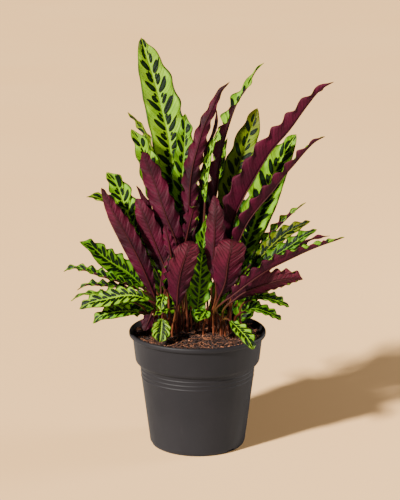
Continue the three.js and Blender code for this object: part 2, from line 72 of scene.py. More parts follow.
# The potting mix
SOIL_GAP = 0.3
SOIL_EDGE_Z = 156
SOIL_CROWN = 6
SOIL_SHOULDER = 2
SOIL_LUMP = 3.0
CROWN_ROWS = 46
BED_SIDES = 150
TOP_SIDES = 90
CHIP_COUNT = 3400
FIBRE_COUNT = 1100
FULL_TURN = 6.28

# The leaves
HOLE_FLOOR_Z = 138
STALK_RADIUS = 1.5
STALK_CLEAR_Z = 166
STALK_PULL = 0.4
STALK_ROWS = 18
STALK_SIDES = 8
MIDRIB_SINK = 0.78
# How green the stalks are, by turns
STALK_GREENNESS = (0.15, 0.7, 0.3, 0.0, 0.5)
BLADE_THICKNESS = 0.8
BLADE_RUFFLE = 0.8
WELD_DISTANCE = 0.02
WAVE_HEIGHT = 0.2
WAVE_WIDENING = 0.16
WAVE_LIMIT = 0.32
WAVE_UNEVENNESS = 0.35
WAVE_DRIFT = 2.4
TIP_START = 0.995
TIP_ROUNDING = 0.012
TIP_THINNING = 0.04
TIP_WIDTH = 1.2
CURVE_STEPS = 60
ROW_STEP = 1.9
ROWS_PER_WAVE = 10
LEAST_ROWS = 24
WIDE_BLADE = 24
WIDE_COLUMNS = 23
NARROW_COLUMNS = 15
VEIN_SPACING = 6.2
VEIN_SLOPE = 0.75
VEIN_CURVE = 0.35
PLAIN_PLEAT = 0.09
PLAIN_RIBS = 0.15
# Painted shade on the leaves at the back, inside the plant
BACK_PAINTED_SHADE = -0.6
# Half a spot's size along the leaf: so many millimetres and so much of the step between pairs, and the
# most that it may be of that step
SPOT_GIRTH = 1.9
SPOT_GROWTH = 0.095
SPOT_LIMIT = 0.25

# One row for each leaf: its name, its root, the blade's width, the number of waves, the fold in degrees,
# how blunt the tip is, where the upper side faces, and points of the midrib. Some rows then say more:
# calm: the share of the usual height that the waves have.
# tip_face, turn_from: where the tip's upper side faces, and the part of the length where the turn starts.
# ripeness: how far the colour leans to yellow and rose, or, below 0, to deep green and dark maroon, which is
# painted shade on leaves that lie inside the plant's shadow.
# paleness: how far the lime green is paler than on most, a painted sheen on the most lit leaves.
# spot_pairs, spot_size: how many pairs of spots each wave has, and their size against the usual one.
# pleat: how deep the folds between the side veins are. ribs: how clearly the veins show underneath, in relief
# and in painted shade and highlight over the grooves and swellings.
Leaf = namedtuple(
    "Leaf",
    "name root width waves fold blunt face midrib calm tip_face turn_from ripeness paleness spot_pairs"
    " spot_size pleat ribs",
    defaults=(1.0, None, None, 0.0, 0.0, 1.0, 1.0, PLAIN_PLEAT, PLAIN_RIBS),
)
LEAVES = [
    Leaf("tall_left", (-21, 22), 57, 9, 20, 7, (0.24, -0.96, 0.15),
        [(-23, 34, 249), (-30, 44, 318), (-40, 51, 423), (-49, 56, 462), (-60, 61, 504), (-71, 66, 538),
        (-78, 69, 562)],
        calm=0.36, ripeness=0.05, paleness=0.28, spot_pairs=1.4, spot_size=1.25),
    Leaf("tall_left_low", (-14, 14), 31, 8, 15, 7, (0.1, -1, 0.1),
        [(-20, 19, 252), (-22, 24, 311), (-21, 30, 376), (-18, 36, 417), (-17, 44, 460)],
        calm=0.5, ripeness=-0.5),
    Leaf("tall_left_small", (-27, 8), 34, 7, 15, 6, (0.1, -1, 0.2),
        [(-26, 12, 255), (-37, 16, 309), (-58, 18, 365), (-75, 20, 415), (-91, 23, 442)],
        calm=0.6),
    Leaf("tall_left_twisted", (-28, 34), 26, 6, 20, 2, (-0.8, -0.6, 0.1),
        [(-45, 64, 347), (-68, 74, 416), (-79, 78, 436), (-98, 82, 455)],
        ripeness=1.0),
    Leaf("left_broad", (-38, 0), 38, 8, 15, 6, (0.1, -0.95, 0.3),
        [(-58, 0, 251), (-82, 6, 297), (-98, 10, 331), (-110, 14, 364), (-125, 16, 383)]),
    Leaf("left_dark_curl", (-31, -4), 20, 5, 15, 2, (0, 1, 0.1),
        [(-40, 0, 259), (-54, 1, 300), (-72, 5, 345), (-84, 8, 366)]),
    Leaf("left_maroon_tall", (-20, -6), 34, 8, 15, 8, (0, 1, 0.2),
        [(-18, -11, 240), (-27, -13, 286), (-43, -11, 328), (-58, -4, 371), (-75, 0, 415)],
        calm=0.6, ripeness=0.2),
    Leaf("left_maroon_middle", (-30, -11), 32, 6, 15, 6, (0, 1, 0.2),
        [(-36, -26, 237), (-55, -22, 285), (-67, -20, 315), (-78, -16, 342), (-85, -7, 351)],
        calm=0.5, ribs=0.25),
    Leaf("left_maroon_low", (-46, -19), 34, 11, 25, 4, (-0.1, 1, 0.3),
        [(-56, -38, 215), (-75, -43, 265), (-94, -39, 303), (-110, -35, 331), (-130, -28, 371)],
        calm=0.55, pleat=0.25, ribs=0.3),
    Leaf("left_green_curl", (-44, -3), 30, 7, 20, 4, (0, -0.5, 0.85),
        [(-79, -14, 263), (-103, -11, 310), (-117, -12, 341), (-134, -14, 353), (-151, -16, 355)],
        ripeness=0.5),
    Leaf("centre_small_pink", (-24, -15), 17, 5, 15, 3, (0, 1, 0.2),
        [(-35, -36, 275), (-40, -34, 302), (-45, -32, 321)],
        ripeness=0.8),
    Leaf("centre_pink_edge", (-41, -22), 16, 5, 15, 3, (1, 0.25, 0),
        [(-49, -57, 236), (-48, -55, 250), (-46, -54, 265), (-38, -52, 284)],
        ripeness=0.8),
    Leaf("centre_bent_tip", (-14, -14), 20, 4, 12, 5, (0, 1, 0.1),
        [(-16, -26, 295), (-11, -29, 319), (-6, -32, 339), (-2, -44, 349)],
        tip_face=(0, 0.3, 1), turn_from=0.7),
    Leaf("front_maroon_left", (-29, -21), 38, 6, 12, 6, (0, 1, 0.25),
        [(-28, -58, 211), (-26, -62, 242), (-21, -65, 268), (-14, -66, 290), (-10, -58, 301),
        (-8, -47, 301), (-7, -42, 299)],
        calm=0.6, tip_face=(0, 0.3, -1), turn_from=0.6, pleat=1.2, ribs=1.0),
    Leaf("front_maroon_right", (22, -22), 44, 5, 12, 7, (0, 1, 0.2),
        [(29, -58, 225), (37, -62, 247), (41, -66, 277), (45, -66, 295), (46, -57, 304), (48, -44, 302),
        (49, -37, 298)],
        calm=0.5, tip_face=(0, 0.3, -1), turn_from=0.55, pleat=1.3, ribs=1.0),
    Leaf("front_maroon_behind", (16, -15), 28, 6, 15, 6, (0.1, 1, 0.2),
        [(25, -46, 239), (22, -47, 274), (23, -45, 308), (24, -41, 342), (22, -30, 361)],
        calm=0.5, ripeness=-0.2, ribs=0.4),
    Leaf("centre_green", (-2, -15), 37, 8, 15, 4, (0, -0.95, 0.3),
        [(-2, -32, 180), (2, -34, 224), (5, -32, 266), (9, -28, 301), (13, -24, 327)],
        ripeness=-0.8, spot_pairs=1.2, spot_size=0.8),
    Leaf("centre_maroon_tall", (-9, -3), 32, 12, 20, 2.2, (0.1, 1, 0.1),
        [(-9, -2, 253), (-11, 2, 309), (-11, 7, 354), (-7, 9, 390), (1, 12, 421), (10, 14, 450),
        (20, 16, 471), (30, 18, 493), (45, 20, 508)],
        ripeness=-0.3),
    Leaf("centre_maroon_thin", (0, 12), 20, 6, 20, 2, (-0.6, 0.8, 0.1),
        [(-1, 14, 251), (6, 18, 321), (12, 24, 390), (19, 29, 424), (26, 32, 446), (26, 34, 462),
        (21, 36, 476)],
        ripeness=-0.6),
    Leaf("centre_green_thin", (2, 2), 15, 5, 15, 3, (-0.6, -0.8, 0.1),
        [(10, 12, 338), (11, 16, 372), (14, 19, 396), (20, 20, 419), (31, 21, 444)]),
    Leaf("centre_folded_tall", (10, 18), 40, 10, 42, 2, (-0.8, 0.45, 0.15),
        [(13, 24, 265), (26, 35, 351), (30, 42, 386), (34, 45, 409), (39, 47, 428), (54, 47, 472),
        (68, 49, 494), (81, 51, 518), (92, 52, 529)],
        calm=0.8, tip_face=(-0.8, -0.7, 0.15), turn_from=0.3, ripeness=0.15),
    Leaf("centre_green_twisted", (14, 30), 16, 4, 20, 2.5, (-0.5, -0.85, 0),
        [(27, 60, 349), (33, 66, 376), (37, 70, 404), (42, 70, 421)],
        ripeness=-0.3),
    Leaf("tall_right_green", (22, 20), 39, 6, 18, 7, (-0.2, -1, 0.1),
        [(23, 30, 259), (42, 52, 332), (51, 54, 366), (61, 56, 396), (69, 57, 420), (77, 59, 445),
        (83, 60, 465)],
        calm=0.32, ripeness=1.1, spot_pairs=1.2),
    Leaf("right_maroon_tall", (18, -6), 60, 11, 40, 2.2, (-0.6, 0.6, 0.5),
        [(35, -14, 256), (44, -14, 294), (50, -12, 325), (62, -10, 352), (77, -8, 379), (98, -6, 414),
        (125, -5, 446), (147, -4, 477), (165, -4, 499), (184, -4, 511)],
        calm=0.42, ripeness=0.6),
    Leaf("right_maroon_middle", (26, -10), 42, 10, 40, 1.7, (-0.65, 0.42, 0.64),
        [(40, -26, 258), (55, -28, 295), (67, -26, 321), (83, -24, 343), (101, -22, 364), (117, -20, 385),
        (130, -19, 400), (146, -18, 419), (158, -18, 431), (172, -18, 439)],
        calm=0.5, ripeness=0.4),
    Leaf("right_green_tall", (32, 4), 52, 8, 22, 6, (-0.3, -0.9, 0.3),
        [(50, 6, 226), (58, 12, 254), (67, 18, 278), (81, 26, 314), (93, 30, 344), (103, 32, 372),
        (119, 33, 405), (136, 34, 433)],
        calm=0.75, ripeness=-0.2, spot_pairs=1.3, spot_size=1.3),
    Leaf("right_thin", (44, 2), 20, 7, 40, 2.5, (-0.64, -0.3, 0.69),
        [(70, -10, 256), (80, -8, 268), (89, -2, 284), (102, 1, 299), (120, 4, 318), (135, 5, 332),
        (149, 6, 343)],
        calm=0.75, ripeness=0.5),
    Leaf("right_olive", (42, -4), 25, 7, 22, 4, (-0.38, -0.77, 0.51),
        [(70, -24, 253), (83, -18, 267), (103, -16, 289), (120, -15, 304), (137, -14, 313),
        (154, -14, 321)],
        calm=0.7, ripeness=1.3, spot_size=1.25),
    Leaf("right_green", (46, -9), 24, 7, 22, 4, (-0.35, -0.77, 0.55),
        [(67, -40, 246), (82, -38, 261), (105, -37, 278), (125, -36, 291), (144, -35, 305),
        (162, -34, 314)],
        calm=0.7, ripeness=-0.9, spot_size=1.25),
    Leaf("right_folded_long", (34, -15), 38, 11, 45, 1.8, (-0.4, 0.45, 0.8),
        [(37, -77, 226), (53, -80, 240), (70, -79, 253), (94, -73, 268), (124, -65, 281), (148, -60, 291),
        (168, -56, 298), (184, -54, 303), (198, -52, 308)],
        calm=0.65, tip_face=(-0.48, -0.3, 0.8), turn_from=0.4, ripeness=0.3, ribs=0.4),
    Leaf("right_thin_back", (51, -3), 14, 5, 20, 3, (-0.4, 0.6, 0.6),
        [(90, -24, 249), (112, -21, 267), (144, -17, 288), (155, -15, 295), (181, -12, 300)]),
    Leaf("right_maroon_ribbed", (38, -26), 38, 9, 15, 5, (0, 0.9, 0.4),
        [(45, -59, 219), (61, -60, 232), (86, -61, 243), (110, -64, 251), (131, -65, 254), (142, -64, 252)],
        pleat=1.2, ribs=1.0),
    Leaf("right_low_upper", (60, -30), 22, 5, 20, 4, (0.2, -0.5, 0.85),
        [(71, -46, 218), (87, -48, 223), (109, -46, 216), (125, -44, 208)],
        calm=0.7, ripeness=-0.6, spot_pairs=1.4),
    Leaf("right_low_under", (51, -29), 23, 5, 20, 4, (0.2, -0.5, 0.85),
        [(63, -50, 203), (76, -56, 209), (95, -54, 203), (114, -52, 192)],
        calm=0.7, ripeness=-0.7, spot_pairs=1.4),
    Leaf("right_shaded", (44, -15), 31, 3, 15, 4, (0, -0.85, 0.5),
        [(53, -22, 180), (64, -22, 196), (75, -22, 213), (80, -23, 222)],
        ripeness=-0.9),
    Leaf("left_fan_top", (-46, -9), 38, 7, 15, 3, (0.2, -0.8, 0.55),
        [(-73, -26, 230), (-95, -26, 251), (-111, -28, 262), (-127, -30, 274), (-143, -32, 289),
        (-160, -34, 297)],
        calm=0.8, ripeness=-0.7, spot_pairs=1.2),
    Leaf("left_fan_second", (-51, -13), 24, 8, 30, 3, (0, -0.3, 0.95),
        [(-78, -44, 232), (-94, -48, 241), (-117, -53, 250), (-134, -53, 255), (-152, -53, 262),
        (-169, -50, 264), (-181, -50, 259)],
        calm=0.8, ripeness=-0.5),
    Leaf("left_fan_dark", (-55, -18), 20, 7, 25, 3, (0, -0.2, 1),
        [(-77, -40, 224), (-90, -42, 231), (-112, -42, 236), (-134, -42, 238), (-150, -42, 238),
        (-164, -42, 231)],
        calm=0.8, ripeness=-0.7),
    Leaf("left_fan_bright", (-62, -20), 30, 8, 12, 4, (0, -0.75, 0.66),
        [(-64, -60, 221), (-80, -62, 228), (-99, -62, 229), (-123, -62, 224), (-145, -62, 219),
        (-160, -62, 210)],
        ripeness=0.35, paleness=0.3),
    Leaf("left_fan_small", (-66, -10), 12, 5, 20, 3, (0, -0.4, 0.9),
        [(-95, -38, 216), (-119, -42, 224), (-146, -44, 227), (-161, -44, 224), (-172, -44, 216)],
        ripeness=-0.4),
    Leaf("left_fan_low", (-67, -15), 22, 5, 12, 4, (-0.2, -0.75, 0.6),
        [(-78, -48, 202), (-97, -54, 205), (-116, -56, 203), (-131, -56, 199), (-142, -56, 188)],
        ripeness=-0.35, spot_pairs=1.4),
    Leaf("left_fan_shaded", (-50, -4), 40, 4, 15, 4, (0, -0.95, 0.3),
        [(-54, 0, 186), (-66, -2, 196), (-84, -6, 203), (-106, -12, 201), (-125, -17, 192)],
        ripeness=-0.9, spot_pairs=1.6),
    Leaf("front_small_left", (-44, -30), 28, 4, 10, 6, (0, -0.85, 0.5),
        [(-48, -50, 194), (-49, -60, 180), (-51, -66, 165)],
        ripeness=0.5, paleness=0.2, spot_pairs=2.1, spot_size=1.1),
    Leaf("front_small_bright", (-39, -28), 18, 3, 15, 4, (0, -0.8, 0.6),
        [(-45, -62, 231), (-48, -72, 223), (-49, -78, 213)],
        ripeness=0.3),
    Leaf("front_small_sliver", (-35, -31), 14, 3, 25, 3, (0.2, -0.1, 0.95),
        [(-37, -57, 208), (-48, -65, 205), (-59, -72, 203)],
        ripeness=0.3),
    Leaf("front_small_maroon", (-61, -28), 20, 3, 12, 4, (0, 1, 0.1),
        [(-62, -50, 201), (-67, -56, 190), (-72, -60, 179)],
        ripeness=-0.4),
    Leaf("front_small_right", (32, -28), 26, 5, 15, 5, (0.2, -0.6, 0.8),
        [(44, -52, 191), (56, -68, 183), (66, -84, 176), (75, -94, 163)],
        calm=0.7, ripeness=0.4),
    Leaf("front_small_centre", (8, -24), 26, 3, 15, 5, (0, -0.4, 0.9),
        [(12, -50, 206), (7, -60, 201), (2, -74, 197)],
        ripeness=-0.5),
    Leaf("back_tall_left", (-12, 36), 46, 4, 15, 4, (0, -0.8, 0.6),
        [(-15, 38, 172), (-26, 56, 222), (-37, 96, 284), (-48, 140, 330)]),
    Leaf("back_tall_middle", (4, 36), 42, 4, 15, 4, (0, -0.8, 0.6),
        [(4, 39, 172), (6, 65, 236), (8, 108, 305), (10, 152, 345)]),
    Leaf("back_tall_right", (22, 34), 42, 4, 15, 4, (0, -0.8, 0.6),
        [(25, 36, 172), (39, 52, 224), (57, 90, 282), (68, 131, 320)]),
    Leaf("back_left", (-34, 24), 40, 4, 15, 4, (0.5, -0.5, 0.7),
        [(-39, 31, 180), (-52, 50, 216), (-72, 80, 252), (-95, 110, 270)]),
    Leaf("back_right", (34, 24), 40, 4, 15, 4, (-0.5, -0.5, 0.7),
        [(48, 31, 180), (66, 48, 216), (90, 78, 252), (110, 103, 268)]),
    Leaf("back_side_left", (-44, 12), 30, 4, 15, 3, (0.4, -0.2, 0.9),
        [(-66, 34, 205), (-92, 52, 220), (-120, 70, 225)]),
    Leaf("back_side_right", (44, 12), 30, 4, 15, 3, (-0.4, -0.2, 0.9),
        [(70, 30, 205), (96, 48, 222), (122, 64, 228)]),
    Leaf("back_low_middle", (4, 48), 40, 4, 15, 3, (0, -0.9, 0.4),
        [(3, 62, 170), (2, 78, 200), (2, 102, 240)]),
    Leaf("back_low_left", (-13, 45), 42, 4, 15, 3, (0, -0.9, 0.4),
        [(-6, 59, 172), (-36, 66, 183), (-76, 70, 192)]),
    Leaf("back_low_right", (20, 44), 42, 4, 15, 3, (0, -0.9, 0.4),
        [(12, 59, 172), (42, 65, 182), (80, 69, 191)]),
]


# Wiring of node trees
class Wire:
    """What a node puts out, with the usual arithmetic. Each sum or product adds a node to the tree."""

    def __init__(self, socket):
        self.socket = socket

    @property
    def tree(self):
        return self.socket.node.id_data

    @property
    def is_vector(self):
        return self.socket.type == "VECTOR"

    def __add__(self, other):
        return arithmetic("ADD", self, other)

    __radd__ = __add__

    def __sub__(self, other):
        return arithmetic("SUBTRACT", self, other)

    def __rsub__(self, other):
        return arithmetic("SUBTRACT", other, self)

    def __mul__(self, other):
        return arithmetic("MULTIPLY", self, other)

    def __truediv__(self, other):
        return arithmetic("DIVIDE", self, other)

    def __pow__(self, other):
        return arithmetic("POWER", self, other)

    def apply(self, operation, *others):
        return arithmetic(operation, self, *others)

    def parts(self):
        node = place_node(self.tree, "ShaderNodeSeparateXYZ", {0: self})
        return [Wire(output) for output in node.outputs]


def feed(socket, value):
    if isinstance(value, Wire):
        socket.node.id_data.links.new(value.socket, socket)
    else:
        socket.default_value = value


def place_node(tree, kind, inputs=None, **settings):
    """A new node with its settings and inputs. Inputs go by name or by number."""
    node = tree.nodes.new(kind)
    for name, value in settings.items():
        setattr(node, name, value)
    for name, value in (inputs or {}).items():
        feed(node.inputs[name], value)
    return node


def out_of(tree, kind, inputs=None, **settings):
    """What a new node puts out first."""
    return Wire(place_node(tree, kind, inputs, **settings).outputs[0])


def arithmetic(operation, *values):
    """A Math or Vector Math node, by what comes in. A vector times a number is scaled."""
    tree = next(value.tree for value in values if isinstance(value, Wire))
    vectors = [isinstance(value, Wire) and value.is_vector or isinstance(value, tuple) for value in values]
    if not any(vectors):
        return out_of(tree, "ShaderNodeMath", dict(enumerate(values)), operation=operation)
    if operation == "MULTIPLY" and not all(vectors):
        vector, factor = values if vectors[0] else reversed(values)
        return out_of(tree, "ShaderNodeVectorMath", {0: vector, "Scale": factor}, operation="SCALE")
    return out_of(tree, "ShaderNodeVectorMath", dict(enumerate(values)), operation=operation)


def vector_of(tree, x, y, z):
    return out_of(tree, "ShaderNodeCombineXYZ", {0: x, 1: y, 2: z})


def rising(value, low, high):
    """0 below low and 1 above high, with a smooth rise between. It falls where low is the larger."""
    inputs = {"Value": value, "From Min": low, "From Max": high}
    return out_of(value.tree, "ShaderNodeMapRange", inputs, interpolation_type="SMOOTHSTEP")


def between(value, low, high):
    """low where the value is 0 and high where it is 1."""
    return out_of(value.tree, "ShaderNodeMapRange", {"Value": value, "To Min": low, "To Max": high})


def grain(tree, vector, scale, detail=2.0, roughness=0.5):
    inputs = {"Vector": vector, "Scale": scale, "Detail": detail, "Roughness": roughness}
    return out_of(tree, "ShaderNodeTexNoise", inputs)


def tint(factor, first, second):
    """The first colour where the factor is 0, and the second where it is 1."""
    node = place_node(factor.tree, "ShaderNodeMix", data_type="RGBA")
    sockets = {socket.identifier: socket for socket in node.inputs}
    feed(sockets["Factor_Float"], factor)
    feed(sockets["A_Color"], first)
    feed(sockets["B_Color"], second)
    return Wire(next(socket for socket in node.outputs if socket.identifier == "Result_Color"))


def layered(colour, *coats):
    """A colour with others laid over it in turn, each where its own mask says."""
    for mask, coat in coats:
        colour = tint(mask, colour, coat)
    return colour


def ellipse(along, out, half_length, half_width):
    """How far out of an ellipse a place is: 1 on its line, less inside it."""
    return ((along / half_length) ** 2.0 + (out / half_width) ** 2.0) ** 0.5


# Trees that shape meshes
SOCKET_OF = {float: "NodeSocketFloat", int: "NodeSocketInt", str: "NodeSocketMaterial"}


def shape_tree(name, sizes):
    """A tree that shapes a mesh, with one input for each named size. A size given as text is a material."""
    tree = bpy.data.node_groups.new(name, "GeometryNodeTree")
    tree.interface.new_socket("Geometry", in_out="INPUT", socket_type="NodeSocketGeometry")
    for title, value in sizes.items():
        socket = tree.interface.new_socket(title, in_out="INPUT", socket_type=SOCKET_OF[type(value)])
        if not isinstance(value, str):
            socket.default_value = value
    tree.interface.new_socket("Geometry", in_out="OUTPUT", socket_type="NodeSocketGeometry")
    return tree, *group_ends(tree)


def group_ends(tree):
    """What a group is given, by name, and the sockets for what it makes."""
    given = tree.nodes.new("NodeGroupInput")
    made = tree.nodes.new("NodeGroupOutput")
    return {socket.name: Wire(socket) for socket in given.outputs if socket.name}, made.inputs


def finished(geometry, finishes, made):
    """Ends a tree: instances made real, then a material for each face's number."""
    tree = geometry.tree
    whole = out_of(tree, "GeometryNodeRealizeInstances", {"Geometry": geometry})
    for number, finish in enumerate(finishes):
        same = {"A": named(tree, "finish", "INT"), "B": number}
        chosen = out_of(tree, "FunctionNodeCompare", same, data_type="INT", operation="EQUAL")
        inputs = {"Geometry": whole, "Selection": chosen, "Material": finish}
        whole = out_of(tree, "GeometryNodeSetMaterial", inputs)
    feed(made[0], whole)


def named(tree, name, data_type="FLOAT"):
    node = place_node(tree, "GeometryNodeInputNamedAttribute", {"Name": name}, data_type=data_type)
    return Wire(node.outputs["Attribute"])


def stored(geometry, name, value, data_type="FLOAT_VECTOR", domain="POINT"):
    inputs = {"Geometry": geometry, "Name": name, "Value": value}
    settings = {"data_type": data_type, "domain": domain}
    return out_of(geometry.tree, "GeometryNodeStoreNamedAttribute", inputs, **settings)


def numbered(geometry, number):
    """The geometry with this finish's number on its faces."""
    return stored(geometry, "finish", number, "INT", "FACE")


def taken(source, value, index, data_type="FLOAT_VECTOR"):
    """The value that a field has on the source's point of that number."""
    inputs = {"Geometry": source, "Value": value, "Index": index}
    return out_of(source.tree, "GeometryNodeSampleIndex", inputs, data_type=data_type)


def joined(*geometries):
    node = geometries[0].tree.nodes.new("GeometryNodeJoinGeometry")
    for geometry in geometries:
        feed(node.inputs[0], geometry)
    return Wire(node.outputs[0])


def positions(tree):
    return out_of(tree, "GeometryNodeInputPosition")


def moved(geometry, how, places):
    """The geometry with its points at a Position each, or moved by an Offset."""
    return out_of(geometry.tree, "GeometryNodeSetPosition", {"Geometry": geometry, how: places})


def welded(geometry, distance):
    return out_of(geometry.tree, "GeometryNodeMergeByDistance", {"Geometry": geometry, "Distance": distance})


def tube_along(line, sides, radius, girth=1.0):
    """A round rod along a line, closed at both ends."""
    tree = line.tree
    ring = out_of(tree, "GeometryNodeCurvePrimitiveCircle", {"Resolution": sides, "Radius": radius})
    inputs = {"Curve": line, "Profile Curve": ring, "Scale": girth, "Fill Caps": True}
    return out_of(tree, "GeometryNodeCurveToMesh", inputs)


def grid_of(tree, rows, columns):
    """A sheet of rows by columns of points, with the row and the column of each point."""
    sheet = out_of(tree, "GeometryNodeMeshGrid", {"Vertices X": rows, "Vertices Y": columns})
    index = out_of(tree, "GeometryNodeInputIndex")
    row = ((index + 0.5) / columns).apply("FLOOR")
    return sheet, row, index - row * columns


def line_mesh(name, points):
    """A mesh of points joined in a line, for a tree to read."""
    mesh = bpy.data.meshes.new(name)
    edges = [(number, number + 1) for number in range(len(points) - 1)]
    mesh.from_pydata([tuple(point) for point in points], edges, [])
    return mesh


def set_down(name, data):
    """A new object in the scene."""
    thing = bpy.data.objects.new(name, data)
    bpy.context.scene.collection.objects.link(thing)
    return thing


def shaped(name, mesh, tree, sizes):
    """Runs a tree on a mesh with these sizes, and gives back an object with the plain mesh it makes."""
    raw = set_down(name + "_raw", mesh)
    modifier = raw.modifiers.new("shape", "NODES")
    modifier.node_group = tree
    sockets = {item.name: item.identifier for item in tree.interface.items_tree if item.in_out == "INPUT"}
    for title, value in sizes.items():
        modifier[sockets[title]] = value
    depsgraph = bpy.context.evaluated_depsgraph_get()
    plain = bpy.data.meshes.new_from_object(
        raw.evaluated_get(depsgraph), preserve_all_data_layers=True, depsgraph=depsgraph
    )
    raw.modifiers.remove(modifier)
    bpy.data.objects.remove(raw)
    plain.name = name
    return set_down(name, plain)


def placed(piece, nodes):
    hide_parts(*nodes)
    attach(piece, "root")


# Materials
def new_material(name, shine=None):
    """A material with its shader. What is the same all over it is set on the shader's own sockets."""
    material = bpy.data.materials.new(name)
    material.use_nodes = True
    tree = material.node_tree
    shader = next(node for node in tree.nodes if node.type == "BSDF_PRINCIPLED")
    for title, value in (shine or {}).items():
        shader.inputs[title].default_value = value
    return material, tree, shader


def surfaced(shader, colour, roughness, height, depth):
    """Feeds a shader its colour, its roughness and a relief of this depth."""
    feed(shader.inputs["Base Color"], colour)
    feed(shader.inputs["Roughness"], roughness)
    inputs = {"Height": height, "Distance": depth, "Strength": 1.0}
    feed(shader.inputs["Normal"], out_of(shader.id_data, "ShaderNodeBump", inputs))


def read(tree, name, output="Vector"):
    node = place_node(tree, "ShaderNodeAttribute", attribute_type="GEOMETRY", attribute_name=name)
    return Wire(node.outputs[output])


def own_place(tree):
    return Wire(tree.nodes.new("ShaderNodeTexCoord").outputs["Object"])


def effect_group(name, inputs, outputs):
    """A group of shader nodes that several materials use, with named values in and masks or colours out."""
    tree = bpy.data.node_groups.new(name, "ShaderNodeTree")
    for title, value in inputs.items():
        kind = "NodeSocketVector" if value is None else "NodeSocketFloat"
        socket = tree.interface.new_socket(title, in_out="INPUT", socket_type=kind)
        if value is not None:
            socket.default_value = value
    for title in outputs:
        tree.interface.new_socket(title, in_out="OUTPUT", socket_type="NodeSocketFloat")
    return tree, *group_ends(tree)


def use_group(tree, group, values):
    node = tree.nodes.new("ShaderNodeGroup")
    node.node_tree = group
    for title, value in values.items():
        feed(node.inputs[title], value)
    return {socket.name: Wire(socket) for socket in node.outputs}


def side_vein_group():
    """Side veins that run out from the midrib towards the tip, and the fine lines between them."""
    tree, given, made = effect_group(
        "side_veins", {"Leaf Place": None, "Spacing": VEIN_SPACING, "Waver": 0.9}, ["Vein", "Swell", "Lines"]
    )
    along, across, _ = given["Leaf Place"].parts()
    away = across.apply("ABSOLUTE")
    waver = (grain(tree, vector_of(tree, along * 0.05, across, 0.0), 3.0) - 0.5) * given["Waver"]
    beat = ((along / given["Spacing"] + waver) * math.pi).apply("SINE").apply("ABSOLUTE")
    inside = rising(away, 0.0, 0.12) * rising(away, 1.0, 0.8)
    feed(made["Vein"], rising(beat, 0.34, 0.0) * inside)
    feed(made["Swell"], beat * inside)
    fine = grain(tree, vector_of(tree, along * 1.1, across * 0.7, 0.0), 1.0, detail=3.0)
    feed(made["Lines"], rising(fine, 0.35, 0.68))
    return tree


def mottle_group():
    """Slow and quick changes of shade, as on anything grown, or moulded and handled."""
    tree, given, made = effect_group(
        "mottle", {"Place": None, "Slow Scale": 30.0, "Quick Scale": 400.0}, ["Slow", "Quick", "Specks"]
    )
    feed(made["Slow"], rising(grain(tree, given["Place"], given["Slow Scale"], detail=3.0), 0.3, 0.7))
    quick = grain(tree, given["Place"], given["Quick Scale"], detail=4.0, roughness=0.65)
    feed(made["Quick"], quick)
    feed(made["Specks"], rising(quick, 0.62, 0.72))
    return tree


def mottled(mottle, place, slow_scale, quick_scale):
    values = {"Place": place, "Slow Scale": slow_scale, "Quick Scale": quick_scale}
    return use_group(place.tree, mottle, values)


LEAF_SHINE = {"Coat Weight": 0.02, "Coat Roughness": 0.3, "Specular IOR Level": 0.10}
LIME = (0.115, 0.295, 0.0018, 1.0)
LIME_PALE = (0.285, 0.500, 0.009, 1.0)
LEAF_GREEN = (0.025, 0.115, 0.0015, 1.0)
# Painted shade on the green of leaves inside the plant
PAINTED_SHADE_GREEN = (0.016, 0.070, 0.001, 1.0)
MARGIN_GREEN = (0.005, 0.035, 0.001, 1.0)
SPOT_GREEN = (0.0008, 0.0045, 0.0004, 1.0)
# A painted glint, paler in the middle of the dark spots
SPOT_PAINTED_GLINT = (0.006, 0.022, 0.005, 1.0)
MIDRIB_PALE = (0.23, 0.40, 0.010, 1.0)
YELLOW_GREEN = (0.080, 0.085, 0.0010, 1.0)
MAROON_DEEP = (0.010, 0.0002, 0.0032, 1.0)
MAROON_ROSE = (0.072, 0.0010, 0.0165, 1.0)
MAROON_DARK = (0.006, 0.0002, 0.0018, 1.0)
MAROON_DUSTY = (0.105, 0.016, 0.019, 1.0)
STALK_RED = (0.026, 0.004, 0.003, 1.0)
STALK_ORANGE = (0.165, 0.044, 0.018, 1.0)
STALK_GREEN = (0.050, 0.050, 0.007, 1.0)
# The midrib's own dark red, laid also up the stalks' tops as a painted shade
MIDRIB_RED_AND_STALK_SHADE = (0.034, 0.0022, 0.005, 1.0)
CHARCOAL = (0.0084, 0.0074, 0.0092, 1.0)
CHARCOAL_WORN = (0.027, 0.0245, 0.0275, 1.0)
MIX_BROWN = (0.012, 0.004, 0.0025, 1.0)
MIX_BLACK = (0.002, 0.0008, 0.0006, 1.0)
BARK_RED = (0.032, 0.008, 0.004, 1.0)
COIR_TAN = (0.340, 0.122, 0.050, 1.0)
FLOOR_TAN = (0.97, 0.58, 0.245, 1.0)
FLOOR_PALE = (0.99, 0.62, 0.275, 1.0)
FLOOR_BOUNCE = (0.68, 0.62, 0.56, 1.0)
# Keeps the chances of a spot on one half of the blade apart from those on the other
HALVES_APART = 40.0


